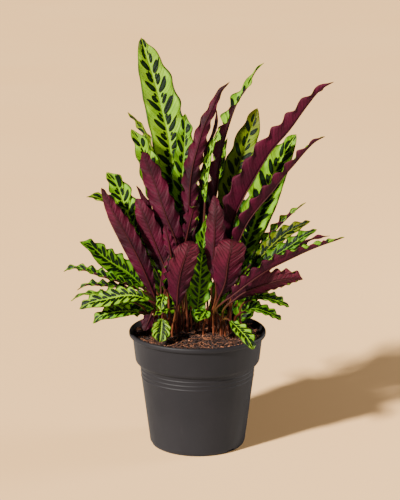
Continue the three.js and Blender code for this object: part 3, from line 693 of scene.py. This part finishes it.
def upper_side(veins, mottle):
    """Lime green with paired long and short dark ovals with a painted glint in their middles, a dark rim and
    a pale midrib, painted shade towards the blade's foot and on leaves inside the plant, and a painted sheen
    on the most lit leaves.
    """
    material, tree, shader = new_material("leaf_upper_side", LEAF_SHINE)
    leaf_place = read(tree, "leaf_place")
    half_width, ripeness, part = read(tree, "leaf_tone").parts()
    spot_girth, _, paleness = read(tree, "leaf_marks").parts()
    _, across, beats = leaf_place.parts()
    away, side = across.apply("ABSOLUTE"), across.apply("SIGN")
    place = own_place(tree)
    shade = mottled(mottle, place, 38.0, 420.0)
    vein = use_group(tree, veins, {"Leaf Place": leaf_place})

    drift = (grain(tree, place, 45.0, detail=0.0) - 0.5) * 0.24
    turn = beats + side * 0.07 + drift
    stray = (grain(tree, place + (3.0, 1.0, 2.0), 50.0, detail=0.0) - 0.5) * 0.2
    reach = away + stray
    cell = (turn * 2.0).apply("FLOOR") + side * HALVES_APART
    chance = place_node(tree, "ShaderNodeTexWhiteNoise", {"W": cell}, noise_dimensions="1D")
    long_beat = turn.apply("FRACT") - 0.5
    short_beat = (turn + 0.5).apply("FRACT") - 0.5
    size = 0.85 + Wire(chance.outputs["Value"]) * 0.35
    girth = size * spot_girth
    spread = size * (0.41 - half_width * 0.0028)
    long_spot = ellipse(long_beat, reach - 0.06 - spread, girth, spread)
    short_spot = ellipse(short_beat + 0.04, reach - 0.25, girth * 0.85, spread * 0.55)
    small_spot = ellipse(short_beat - 0.2, reach - 0.17, girth * 0.5, spread * 0.3)
    spot_edge = long_spot.apply("MINIMUM", short_spot).apply("MINIMUM", small_spot)
    spot_edge = spot_edge + (grain(tree, place, 190.0) - 0.5) * 0.05
    spots = rising(spot_edge, 1.08, 0.90) * rising(away, 0.02, 0.10) * rising(part, 0.03, 0.10)
    midrib = rising(away * half_width, 0.75, 0.3)

    green = layered(
        # The paleness lightens the lime: a painted sheen on the most lit leaves.
        tint(shade["Slow"] * 0.55 + paleness, LIME, LIME_PALE),
        (vein["Lines"] * 0.32, LEAF_GREEN),
        (vein["Vein"] * 0.18, LEAF_GREEN),
        (rising(part, 0.75, 1.0) * 0.3 + ripeness * 0.65, YELLOW_GREEN),
        # Below 0 the ripeness deepens the green: painted shade on leaves inside the plant.
        (ripeness * -0.75, PAINTED_SHADE_GREEN),
        # Darker green towards the blade's foot: painted shade inside the plant.
        (rising(part, 0.30, 0.02) * 0.55, LEAF_GREEN),
        (rising(away, 0.84, 0.97) * 0.95, MARGIN_GREEN),
        # The spots pale towards their middles in slow patches: a painted glint.
        (spots, tint(rising(spot_edge, 0.75, 0.15) * shade["Slow"], SPOT_GREEN, SPOT_PAINTED_GLINT)),
        # The pale midrib is dimmer on yellowed leaves and on those with painted shade.
        (midrib * (0.45 - ripeness.apply("ABSOLUTE") * 0.3), MIDRIB_PALE),
    )
    relief = vein["Swell"] * 0.5 + vein["Lines"] * 0.22 + shade["Quick"] * 0.25 - midrib * 0.5
    surfaced(shader, green, between(shade["Quick"], 0.34, 0.58), relief, 0.0006)
    return material


def under_side(veins, mottle):
    """Maroon, darker over the side veins, partly their own colour and partly a painted shade in the grooves,
    and rosier on the swellings between as a painted highlight. It is darker still towards the blade's foot
    and on leaves inside the plant, as painted shade.
    """
    material, tree, shader = new_material("leaf_underside", {"Specular IOR Level": 0.12})
    leaf_place = read(tree, "leaf_place")
    half_width, ripeness, part = read(tree, "leaf_tone").parts()
    near_tip = rising(part, 0.15, 0.75)
    ribs = read(tree, "leaf_marks").parts()[1] * (near_tip * 0.7 + 0.3)
    away = leaf_place.parts()[1].apply("ABSOLUTE")
    shade = mottled(mottle, own_place(tree), 32.0, 380.0)
    vein = use_group(tree, veins, {"Leaf Place": leaf_place})
    maroon = layered(
        tint(shade["Slow"], MAROON_DEEP, MAROON_ROSE),
        (ripeness * 0.6, MAROON_ROSE),
        # Below 0 the ripeness darkens the maroon: painted shade on leaves inside the plant.
        (ripeness * -0.6, MAROON_DARK),
        # Darker towards the blade's foot: painted shade inside the plant.
        (rising(part, 0.55, 0.0) * 0.5, MAROON_DARK),
        (near_tip * ribs * 0.55, MAROON_DUSTY),
        # Rosier on the swellings between the side veins: a painted highlight.
        (vein["Swell"] * ribs * 0.35, MAROON_ROSE),
        (vein["Lines"] * 0.4, MAROON_DARK),
        # Darker over the side veins: their own colour and a painted shade in the grooves.
        (vein["Vein"] * (ribs * 0.85 + 0.1), MAROON_DARK),
        (rising(away, 0.93, 1.0) * 0.5, MAROON_ROSE),
        (rising(away * half_width, 3.2, 1.2) * 0.45, MAROON_DARK),
    )
    relief = vein["Swell"] * (ribs * 0.8 + 0.16) + vein["Lines"] * 0.2 + shade["Quick"] * 0.35
    surfaced(shader, maroon, between(shade["Quick"], 0.45, 0.68), relief, 0.0008)
    return material


def stalk_finish(mottle):
    """Red-brown stalks, more orange in streaks, darker red up their tops as a painted shade, and a red midrib
    under the blade.
    """
    material, tree, shader = new_material("leaf_stalk", {"Specular IOR Level": 0.12})
    part, greenness, _ = read(tree, "stalk_place").parts()
    shade = mottled(mottle, own_place(tree) * (1.0, 1.0, 0.12), 120.0, 700.0)
    colour = layered(
        tint(shade["Slow"], STALK_RED, STALK_ORANGE),
        (greenness * rising(part, 0.05, 0.9), STALK_GREEN),
        # Darker red up the top of each stalk, a painted shade where the stalks arch out, and the midrib's own
        # red.
        (rising(part, 0.6, 1.05) * 0.9, MIDRIB_RED_AND_STALK_SHADE),
        (shade["Specks"] * 0.5, STALK_RED),
    )
    surfaced(shader, colour, between(shade["Quick"], 0.4, 0.65), shade["Quick"], 0.0003)
    return material


def pot_plastic(mottle):
    """Charcoal moulded plastic with a fine skin, lighter in slow patches and in faint upright scuffs."""
    material, tree, shader = new_material("charcoal_plastic", {"Specular IOR Level": 0.22})
    place = own_place(tree)
    shade = mottled(mottle, place, 9.0, 900.0)
    scuffs = mottled(mottle, place * (1.0, 1.0, 0.18), 70.0, 260.0)
    colour = tint(scuffs["Specks"] * 0.14 + shade["Slow"] * 0.22, CHARCOAL, CHARCOAL_WORN)
    roughness = between(shade["Quick"], 0.44, 0.62) + scuffs["Slow"] * 0.06
    surfaced(shader, colour, roughness, shade["Quick"] + scuffs["Quick"] * 0.3, 0.00012)
    return material


def mix_finish(name, mottle, dark, middle, light, seen):
    """Damp coir and bark. seen is the share of the pieces that are of the lighter colours."""
    material, tree, shader = new_material(name)
    shade = mottled(mottle, own_place(tree), 380.0, 1500.0)
    chance = read(tree, "chance", "Fac")
    colour = layered(
        tint(shade["Slow"], dark, middle),
        (rising(chance, 1.0 - seen, 1.0) * 0.9, light),
        (shade["Specks"] * 0.25, light),
    )
    surfaced(shader, colour, between(shade["Quick"], 0.62, 0.95), shade["Quick"] + shade["Slow"], 0.0006)
    return material


def floor_finish(mottle):
    """Pale in the picture, and greyer in the light that it throws back on the plant."""
    material, tree, shader = new_material("pale_floor", {"Roughness": 0.85})
    shade = mottled(mottle, own_place(tree), 1.3, 60.0)
    colour = tint(shade["Slow"] * 0.5, FLOOR_TAN, FLOOR_PALE)
    seen = Wire(place_node(tree, "ShaderNodeLightPath").outputs["Is Camera Ray"])
    feed(shader.inputs["Base Color"], tint(seen, FLOOR_BOUNCE, colour))
    return material


# Leaves
def curve_through(points):
    """The same smooth curve through the points that the solids use, as many short steps, with its lengths."""
    before = points[0] * 2.0 - points[1]
    after = points[-1] * 2.0 - points[-2]
    framed = [before, *points, after]
    places = []
    for p0, p1, p2, p3 in zip(framed, framed[1:], framed[2:], framed[3:]):
        t0, t1, t2 = ((b - a).length_squared ** 0.25 for a, b in ((p0, p1), (p1, p2), (p2, p3)))
        start = ((p1 - p0) / t0 - (p2 - p0) / (t0 + t1) + (p2 - p1) / t1) * t1
        end = ((p2 - p1) / t1 - (p3 - p1) / (t1 + t2) + (p3 - p2) / t2) * t1
        for step in range(CURVE_STEPS):
            t = step / CURVE_STEPS
            squared = (p2 * 3 - p1 * 3 - start * 2 - end) * t**2
            cubed = (p1 * 2 - p2 * 2 + start + end) * t**3
            places.append(p1 + start * t + squared + cubed)
    places.append(points[-1])
    lengths = [0.0]
    for a, b in zip(places, places[1:]):
        lengths.append(lengths[-1] + (b - a).length)
    return places, lengths


def at_part(places, lengths, part):
    """The place and the heading at a part of a curve's length."""
    wanted = part * lengths[-1]
    low, high = 0, len(lengths) - 1
    while high - low > 1:
        middle = (low + high) // 2
        if lengths[middle] <= wanted:
            low = middle
        else:
            high = middle
    share = (wanted - lengths[low]) / (lengths[high] - lengths[low])
    heading = (places[min(high + 1, len(places) - 1)] - places[max(low - 1, 0)]).normalized()
    return places[low].lerp(places[high], share), heading


def smoothstep(value, low, high):
    share = min(1.0, max(0.0, (value - low) / (high - low)))
    return share * share * (3 - 2 * share)


def facing(row, part, heading):
    """The directions across the blade and out of its upper side."""
    face = Vector(row.face)
    if row.tip_face:
        face = face.lerp(Vector(row.tip_face), smoothstep(part, row.turn_from, 1.0))
    out = (face - heading * face.dot(heading)).normalized()
    return heading.cross(out), out


def stalk_places(row, joint, heading):
    """The stalk: upright out of the mix, then round to arrive in line with the blade."""
    x, y = row.root
    foot = Vector((x, y, STALK_CLEAR_Z))
    pull = STALK_PULL * (joint - foot).length
    first, second = foot + UP * pull, joint - heading * pull
    places = [Vector((x, y, HOLE_FLOOR_Z + SOIL_GAP))]
    for step in range(STALK_ROWS):
        t = step / STALK_ROWS
        near = foot * (1 - t) ** 3 + first * 3 * t * (1 - t) ** 2
        places.append(near + second * 3 * t**2 * (1 - t) + joint * t**3)
    return places


def spine_of(row):
    """The points that the leaf's tree reads: the stalk's first, then one for each row of the blade."""
    places, lengths = curve_through([Vector(point) for point in row.midrib])
    joint, heading = at_part(places, lengths, 0.0)
    stalk = stalk_places(row, joint, heading)
    rows = max(LEAST_ROWS, round(lengths[-1] / ROW_STEP), row.waves * ROWS_PER_WAVE)
    across, out = facing(row, 0.0, heading)
    points = [(place, across, out, 0.0, step / len(stalk), STALK_RADIUS) for step, place in enumerate(stalk)]
    for number in range(rows):
        part = number / (rows - 1) * TIP_START
        place, heading = at_part(places, lengths, part)
        girth = STALK_RADIUS * (0.18 + 0.72 * (1 - part) ** 1.3)
        points.append((place, *facing(row, part, heading), part, 1.0 + part, girth))
    mesh = line_mesh(row.name + "_spine", [point[0] * MM for point in points])
    for title, column in (("across", 1), ("out", 2)):
        layer = mesh.attributes.new(title, "FLOAT_VECTOR", "POINT")
        layer.data.foreach_set("vector", [number for point in points for number in point[column]])
    for title, column, unit in (("part", 3, 1), ("climb", 4, 1), ("girth", 5, MM)):
        layer = mesh.attributes.new(title, "FLOAT", "POINT")
        layer.data.foreach_set("value", [point[column] * unit for point in points])
    return mesh, len(stalk), rows, lengths[-1]


def leaf_tree():
    """One leaf: a waved and folded blade on its spine, closed all round, and the stalk that runs on
    under it as its midrib."""
    sizes = {
        "Stalk Points": 18, "Rows": 100, "Columns": 21, "Width": 0.03, "Fold": 0.3, "Blunt": 4.0,
        "Length": 0.2, "Waves": 8.0, "Calm": 1.0, "Wave Phase": 0.0, "Ruffle": BLADE_RUFFLE * MM,
        "Pleat": PLAIN_PLEAT * MM, "Thickness": BLADE_THICKNESS * MM, "Ripeness": 0.0, "Spot Pairs": 1.0,
        "Spot Girth": 0.2, "Ribs": PLAIN_RIBS, "Paleness": 0.0, "Greenness": 0.3,
        "Upper Side": "", "Underside": "", "Stalk": "",
    }
    tree, given, made = shape_tree("waved_leaf", sizes)
    spine = given["Geometry"]
    sheet, row, column = grid_of(tree, given["Rows"], given["Columns"])
    point = row + given["Stalk Points"]
    centre = taken(spine, positions(tree), point)
    across, out = (taken(spine, named(tree, name, "FLOAT_VECTOR"), point) for name in ("across", "out"))
    part = taken(spine, named(tree, "part"), point, "FLOAT")

    v = 1.0 - column * 2.0 / (given["Columns"] - 1.0)
    side, away = v.apply("SIGN"), v.apply("ABSOLUTE")
    rise = 1.0 - (1.0 - part) ** 4.5
    taper = (1.0 - part ** given["Blunt"]).apply("MAXIMUM", 0.0) ** 0.85
    half = (given["Width"] * 0.5 * rise * taper).apply("MAXIMUM", TIP_WIDTH / 2 * MM)
    half = half * rising(part, 0.0, TIP_ROUNDING) * rising(part, TIP_START, TIP_START - TIP_ROUNDING)
    along = part * given["Length"]
    slant = half * away * (VEIN_SLOPE + away * VEIN_CURVE)
    beats = (along + half * (VEIN_SLOPE + VEIN_CURVE) - slant) / given["Length"] * given["Waves"]
    crest = beats * 2.0 - 0.5
    strength = (crest * WAVE_DRIFT + given["Wave Phase"] + side).apply("SINE") * WAVE_UNEVENNESS + 1.0
    wave_size = given["Length"] / given["Waves"] * given["Calm"]
    wave_size = wave_size.apply("MINIMUM", half * (WAVE_LIMIT / WAVE_HEIGHT))
    lift = (beats * (2 * math.pi)).apply("SINE") * side * strength * wave_size
    grain_place = centre + vector_of(tree, v * 0.01, v * 0.01, 0.0)
    ruffle = (grain(tree, grain_place, 95.0, detail=1.5) - 0.5) * given["Ruffle"] * away * away * 4.0

    vein_place = (along - slant) * (1 / MM)
    swell = (vein_place * (math.pi / VEIN_SPACING)).apply("SINE").apply("ABSOLUTE") - 0.5
    swell = swell * given["Pleat"] * away * (1.0 - away) * 4.0

    cosine, sine = given["Fold"].apply("COSINE"), given["Fold"].apply("SINE")
    outward = across * (side * cosine) + out * sine
    upward = out * cosine - across * (side * sine)
    reach = half * away + (lift * WAVE_WIDENING + ruffle * 0.5) * away * away
    height = lift * away**3.0 * WAVE_HEIGHT + swell + ruffle
    edge = (1.0 - away**7.0) * rising(part, 0.0, 0.03) * rising(part, TIP_START, TIP_START - TIP_THINNING)
    skin = upward * (given["Thickness"] * 0.5 * edge)
    middle = centre + outward * reach + upward * height

    sheet = stored(sheet, "leaf_place", vector_of(tree, vein_place, v, beats * given["Spot Pairs"]))
    sheet = stored(sheet, "leaf_tone", vector_of(tree, half * (1 / MM), given["Ripeness"], part))
    marks = vector_of(tree, given["Spot Girth"], given["Ribs"], given["Paleness"])
    sheet = stored(sheet, "leaf_marks", marks)
    upper = numbered(moved(sheet, "Position", middle + skin), 0)
    lower = numbered(moved(sheet, "Position", middle - skin), 1)
    lower = out_of(tree, "GeometryNodeFlipFaces", {"Mesh": lower})
    blade = welded(joined(upper, lower), WELD_DISTANCE * MM)

    line = out_of(tree, "GeometryNodeMeshToCurve", {"Mesh": sunk(tree, spine)})
    climb = vector_of(tree, named(tree, "climb"), given["Greenness"], 0.0)
    stalk = tube_along(stored(line, "stalk_place", climb), STALK_SIDES, 1.0, named(tree, "girth"))
    finishes = [given["Upper Side"], given["Underside"], given["Stalk"]]
    finished(joined(blade, numbered(stalk, 2)), finishes, made)
    return tree


def sunk(tree, spine):
    """The spine with its midrib stretch lowered to lie under the blade."""
    depth = named(tree, "girth") * rising(named(tree, "part"), 0.0, 0.05) * -MIDRIB_SINK
    return moved(spine, "Offset", named(tree, "out", "FLOAT_VECTOR") * depth)


def make_leaves(finishes):
    tree = leaf_tree()
    for number, row in enumerate(LEAVES):
        spine, stalk_points, rows, length = spine_of(row)
        spot_step = length / row.waves / row.spot_pairs
        sizes = {
            "Stalk Points": stalk_points,
            "Rows": rows,
            "Columns": WIDE_COLUMNS if row.width > WIDE_BLADE else NARROW_COLUMNS,
            "Width": row.width * MM,
            "Fold": math.radians(row.fold),
            "Blunt": float(row.blunt),
            "Length": length * MM,
            "Waves": float(row.waves),
            "Calm": row.calm,
            "Wave Phase": float(row.root[0]),
            "Pleat": row.pleat * MM,
            "Ripeness": BACK_PAINTED_SHADE if row.name.startswith("back_") else row.ripeness,
            "Spot Pairs": row.spot_pairs,
            "Spot Girth": min(SPOT_LIMIT, SPOT_GIRTH / spot_step + SPOT_GROWTH) * row.spot_size,
            "Ribs": row.ribs,
            "Paleness": row.paleness,
            "Greenness": STALK_GREENNESS[number % len(STALK_GREENNESS)],
        }
        piece = shaped(row.name + "_leaf", spine, tree, {**sizes, **finishes})
        piece.data.shade_smooth()
        placed(piece, ["leaf_" + row.name])


# Pot and mix
def turned_tree(name, notches=()):
    """A profile of radius and height turned round the pot's axis, with notches cut through its foot."""
    tree, given, made = shape_tree(name, {"Points": 10, "Sides": POT_SIDES, "Lumps": 0.0, "Finish": ""})
    sheet, row, column = grid_of(tree, given["Points"], given["Sides"] + 1)
    radius, _, height = taken(given["Geometry"], positions(tree), row).parts()
    angle = column * (-2 * math.pi) / given["Sides"]
    place = vector_of(tree, radius * angle.apply("COSINE"), radius * angle.apply("SINE"), height)
    solid = welded(moved(sheet, "Position", place), WELD_DISTANCE / 2 * MM)
    top = rising(positions(tree).parts()[2], (SOIL_EDGE_Z - 4) * MM, (SOIL_EDGE_Z - 0.5) * MM)
    lumps = (grain(tree, positions(tree), 110.0, detail=4.0, roughness=0.6) - 0.5) * given["Lumps"] * top
    solid = moved(solid, "Offset", vector_of(tree, 0.0, 0.0, lumps))
    if notches:
        cutters = joined(*[notch_cutter(tree, degrees) for degrees in notches])
        inputs = {"Mesh 1": solid, "Mesh 2": cutters}
        solid = out_of(tree, "GeometryNodeMeshBoolean", inputs, operation="DIFFERENCE", solver="EXACT")
    finished(numbered(solid, 0), [given["Finish"]], made)
    return tree


def notch_cutter(tree, degrees):
    angle = math.radians(degrees - 90)
    size = (DRAIN_DEPTH * MM, DRAIN_WIDTH * MM, 2 * DRAIN_HEIGHT * MM)
    box = out_of(tree, "GeometryNodeMeshCube", {"Size": size})
    spot = (BASE_RADIUS * math.cos(angle) * MM, BASE_RADIUS * math.sin(angle) * MM, 0.0)
    inputs = {"Geometry": box, "Translation": spot, "Rotation": (0.0, 0.0, angle)}
    return out_of(tree, "GeometryNodeTransform", inputs)


def rounded(corners):
    """A profile with each corner eased by its own radius: (radius, height, easing)."""
    points = []
    for number, (x, z, ease) in enumerate(corners):
        corner = Vector((x, 0.0, z))
        if ease == 0 or number in (0, len(corners) - 1):
            points.append(corner)
            continue
        before = Vector((corners[number - 1][0], 0.0, corners[number - 1][1])) - corner
        after = Vector((corners[number + 1][0], 0.0, corners[number + 1][1])) - corner
        back = corner + before.normalized() * min(ease, before.length * CORNER_SHARE)
        forth = corner + after.normalized() * min(ease, after.length * CORNER_SHARE)
        for step in range(CORNER_STEPS + 1):
            t = step / CORNER_STEPS
            points.append(back * (1 - t) ** 2 + corner * 2 * t * (1 - t) + forth * t**2)
    return [point * MM for point in points]


def ring_corners(z):
    share = (z - RING_HEIGHTS[0]) / (COLLAR_FOOT_Z - RING_HEIGHTS[0])
    radius = BODY_TOP_RADIUS - RING_TAPER * (1 - share)
    return [
        (radius, z - RING_WIDTH, 0.5),
        (radius + RING_DEPTH, z - RING_WIDTH / 3, 0.4),
        (radius + RING_DEPTH, z + RING_WIDTH / 3, 0.4),
        (radius, z + RING_WIDTH, 0.5),
    ]


def inside_corners():
    return [
        (BASE_RADIUS - WALL - 1, FLOOR, 2),
        (NECK_RADIUS - WALL, COLLAR_FOOT_Z - WALL, 2),
        (COLLAR_FOOT_RADIUS - WALL, COLLAR_FOOT_Z + 2 * WALL, 2),
        (COLLAR_TOP_RADIUS - WALL, POT_HEIGHT - LIP_HEIGHT - WALL, 2),
    ]


def make_pot(finish):
    lip_foot_z = POT_HEIGHT - LIP_HEIGHT
    outside = [
        (0, 0, 0),
        (BASE_RADIUS - 4.8, 0, 1),
        (BASE_RADIUS - 2.4, 1.2, 2),
        (BASE_RADIUS - 0.6, 5, 3),
        (BASE_RADIUS, 11, 3),
        *[corner for z in RING_HEIGHTS for corner in ring_corners(z)],
        (NECK_RADIUS, COLLAR_FOOT_Z - 1, 0.8),
        (COLLAR_FOOT_RADIUS - 2, COLLAR_FOOT_Z, 1.2),
        (COLLAR_FOOT_RADIUS, COLLAR_FOOT_Z + 3, 1.6),
        (COLLAR_TOP_RADIUS, lip_foot_z - 1, 0.8),
        (RIM_RADIUS - 1, lip_foot_z, 0.8),
        (RIM_RADIUS, lip_foot_z + 1.5, 1),
        (RIM_RADIUS, POT_HEIGHT - 1.5, 1.2),
        (RIM_RADIUS - 1.2, POT_HEIGHT, 1),
        (RIM_RADIUS - LIP_WIDTH, POT_HEIGHT, 1),
    ]
    corners = [*outside, *reversed(inside_corners()), (0, FLOOR, 0)]
    piece = turned("nursery_pot", corners, turned_tree("turned_pot", DRAIN_ANGLES), POT_SIDES, finish)
    piece.data.shade_smooth()
    piece.data.set_sharp_from_angle(angle=math.radians(SHARP_ANGLE))
    placed(piece, ["pot"])


def turned(name, corners, tree, sides, finish, lumps=0.0):
    profile = rounded(corners)
    sizes = {"Points": len(profile), "Sides": sides, "Lumps": lumps * MM, "Finish": finish}
    return shaped(name, line_mesh(name + "_profile", profile), tree, sizes)


def make_mix(bed_finish, chip_finish, fibre_finish):
    *wall, (edge_radius, _, _) = [
        (radius - SOIL_GAP, z + SOIL_GAP, 0) for radius, z, _ in inside_corners()
    ]
    crown = []
    for row in range(CROWN_ROWS + 1):
        part = (edge_radius - SOIL_SHOULDER) / edge_radius * (1 - row / CROWN_ROWS)
        crown.append((edge_radius * part, SOIL_EDGE_Z + SOIL_CROWN * (1 - part**2), 0))
    corners = [(0, FLOOR + SOIL_GAP, 0), *wall, (edge_radius, SOIL_EDGE_Z - SOIL_SHOULDER, 0), *crown]
    tree = turned_tree("turned_mix")
    bed = turned("potting_mix_bed", corners, tree, BED_SIDES, bed_finish, SOIL_LUMP)
    bed.data.shade_smooth()
    placed(bed, ["potting_mix"])
    surface = turned("mix_top", crown, tree, TOP_SIDES, bed_finish, SOIL_LUMP)
    area = math.pi * (edge_radius * MM) ** 2
    for name, scatter, count, finish in (
        ("coir_and_bark_chips", chips_tree(), CHIP_COUNT, chip_finish),
        ("coir_fibres", fibres_tree(), FIBRE_COUNT, fibre_finish),
    ):
        piece = shaped(name, surface.data, scatter, {"Count For Area": count / area, "Finish": finish})
        placed(piece, ["potting_mix"])
    bpy.data.objects.remove(surface)


def random_of(tree, low, high, seed, data_type="FLOAT_VECTOR"):
    node = place_node(tree, "FunctionNodeRandomValue", {"Seed": seed}, data_type=data_type)
    sockets = [socket for socket in node.inputs if socket.enabled]
    feed(sockets[0], low)
    feed(sockets[1], high)
    return Wire(next(socket for socket in node.outputs if socket.enabled))


def strewn(given, form, turn, size, chance_seed, bend_scale, bend_size, lift):
    """The form strewn over a surface, each one with its own turn, size and chance, and bent out of true
    by a noise at its own place."""
    tree = form.tree
    inputs = {"Mesh": given["Geometry"], "Density": given["Count For Area"], "Seed": given["Seed"]}
    points = out_of(tree, "GeometryNodeDistributePointsOnFaces", inputs, distribute_method="RANDOM")
    inputs = {"Points": points, "Instance": form, "Rotation": turn, "Scale": size}
    whole = out_of(tree, "GeometryNodeInstanceOnPoints", inputs)
    whole = stored(whole, "chance", random_of(tree, 0.0, 1.0, chance_seed, "FLOAT"), "FLOAT", "INSTANCE")
    whole = out_of(tree, "GeometryNodeRealizeInstances", {"Geometry": whole})
    inputs = {"Vector": positions(tree), "Scale": bend_scale, "Detail": 1.0}
    noise = Wire(place_node(tree, "ShaderNodeTexNoise", inputs).outputs["Color"])
    return moved(whole, "Offset", (noise - (0.5, 0.5, 0.5)) * bend_size + (0.0, 0.0, lift))


def chips_tree():
    """Flat broken chips of coir and bark."""
    tree, given, made = shape_tree("strewn_chips", {"Count For Area": 1000.0, "Seed": 7, "Finish": ""})
    seed = given["Seed"]
    chip = out_of(tree, "GeometryNodeMeshIcoSphere", {"Radius": 0.001, "Subdivisions": 1})
    turn = random_of(tree, (-0.7, -0.7, 0.0), (0.7, 0.7, FULL_TURN), seed + 1)
    size = random_of(tree, (0.5, 0.35, 0.2), (2.0, 0.95, 0.6), seed + 2)
    size = size * random_of(tree, 0.6, 2.3, seed + 3, "FLOAT")
    whole = strewn(given, chip, turn, size, seed + 4, 520.0, 0.0022, 0.0006)
    finished(numbered(whole, 0), [given["Finish"]], made)
    return tree


def fibres_tree():
    """Loose curled coir fibres lying on the mix."""
    tree, given, made = shape_tree("strewn_fibres", {"Count For Area": 300.0, "Seed": 23, "Finish": ""})
    seed = given["Seed"]
    curl = {"Start": (-0.005, 0.0, 0.0), "Middle": (0.0, 0.0045, 0.0022), "End": (0.005, 0.0, 0.0)}
    bow = out_of(tree, "GeometryNodeCurveQuadraticBezier", {"Resolution": 7, **curl})
    turn = random_of(tree, (-0.45, -0.45, 0.0), (0.45, 0.45, FULL_TURN), seed + 1)
    size = random_of(tree, 0.45, 1.35, seed + 2, "FLOAT")
    size = vector_of(tree, size, size, 1.0)
    whole = strewn(given, tube_along(bow, 3, 0.00034), turn, size, seed + 3, 150.0, 0.004, 0.0012)
    finished(numbered(whole, 0), [given["Finish"]], made)
    return tree


# Stage
CAMERA_DISTANCE = 2.5
CAMERA_RISE = math.radians(13.5)
CAMERA_AIM = Vector((0.0, 0.0, 0.3))
CAMERA_LENS = 131.4
CAMERA_SHIFT = (0.005, -0.0328)
LIGHT_AIM = Vector((0.0, 0.0, 0.28))
FLOOR_REACH = 20.0


def make_camera():
    data = bpy.data.cameras.new("photo_view")
    data.sensor_width = 36.0
    data.lens = CAMERA_LENS
    data.shift_x, data.shift_y = CAMERA_SHIFT
    data.clip_end = 60.0
    camera = set_down("photo_view", data)
    back = Vector((0.0, -math.cos(CAMERA_RISE), math.sin(CAMERA_RISE)))
    camera.location = CAMERA_AIM + back * CAMERA_DISTANCE
    camera.rotation_euler = (math.pi / 2 - CAMERA_RISE, 0.0, 0.0)
    bpy.context.scene.camera = camera


def soft_light(name, kind, place, size, power, colour):
    """A disc of light at a place, or a far light from that side, whose size is then an angle."""
    data = bpy.data.lights.new(name, kind)
    data.energy = power
    data.color = colour
    if kind == "AREA":
        data.shape = "DISK"
        data.size = size
    else:
        data.angle = size
    light = set_down(name, data)
    light.location = place
    light.rotation_euler = (LIGHT_AIM - Vector(place)).to_track_quat("-Z", "Y").to_euler()


def make_stage(mottle):
    soft_light("key", "SUN", (-1.9, -1.8, 1.9), math.radians(5.0), 12.0, (1.0, 0.95, 0.87))
    soft_light("fill", "AREA", (0.7, -2.4, 0.9), 1.6, 6.0, (0.92, 0.96, 1.0))
    soft_light("back", "AREA", (2.1, 0.5, 0.8), 1.0, 36.0, (1.0, 0.96, 0.94))
    world = bpy.data.worlds.new("studio")
    world.use_nodes = True
    background = next(node for node in world.node_tree.nodes if node.type == "BACKGROUND")
    background.inputs["Color"].default_value = (1.0, 0.93, 0.85, 1.0)
    background.inputs["Strength"].default_value = 0.03
    bpy.context.scene.world = world
    mesh = bpy.data.meshes.new("floor")
    corners = [(x * FLOOR_REACH, y * FLOOR_REACH, 0) for x, y in ((-1, -1), (1, -1), (1, 1), (-1, 1))]
    mesh.from_pydata(corners, [], [(0, 1, 2, 3)])
    mesh.materials.append(floor_finish(mottle))
    floor = set_down("floor", mesh)


make_camera()
mottle = mottle_group()
veins = side_vein_group()
make_stage(mottle)
make_leaves(
    {
        "Upper Side": upper_side(veins, mottle),
        "Underside": under_side(veins, mottle),
        "Stalk": stalk_finish(mottle),
    }
)
make_pot(pot_plastic(mottle))
make_mix(
    mix_finish("mix_bed", mottle, MIX_BLACK, MIX_BROWN, BARK_RED, 0.1),
    mix_finish("chips", mottle, MIX_BLACK, BARK_RED, COIR_TAN, 0.35),
    mix_finish("fibres", mottle, MIX_BROWN, BARK_RED, COIR_TAN, 0.6),
)
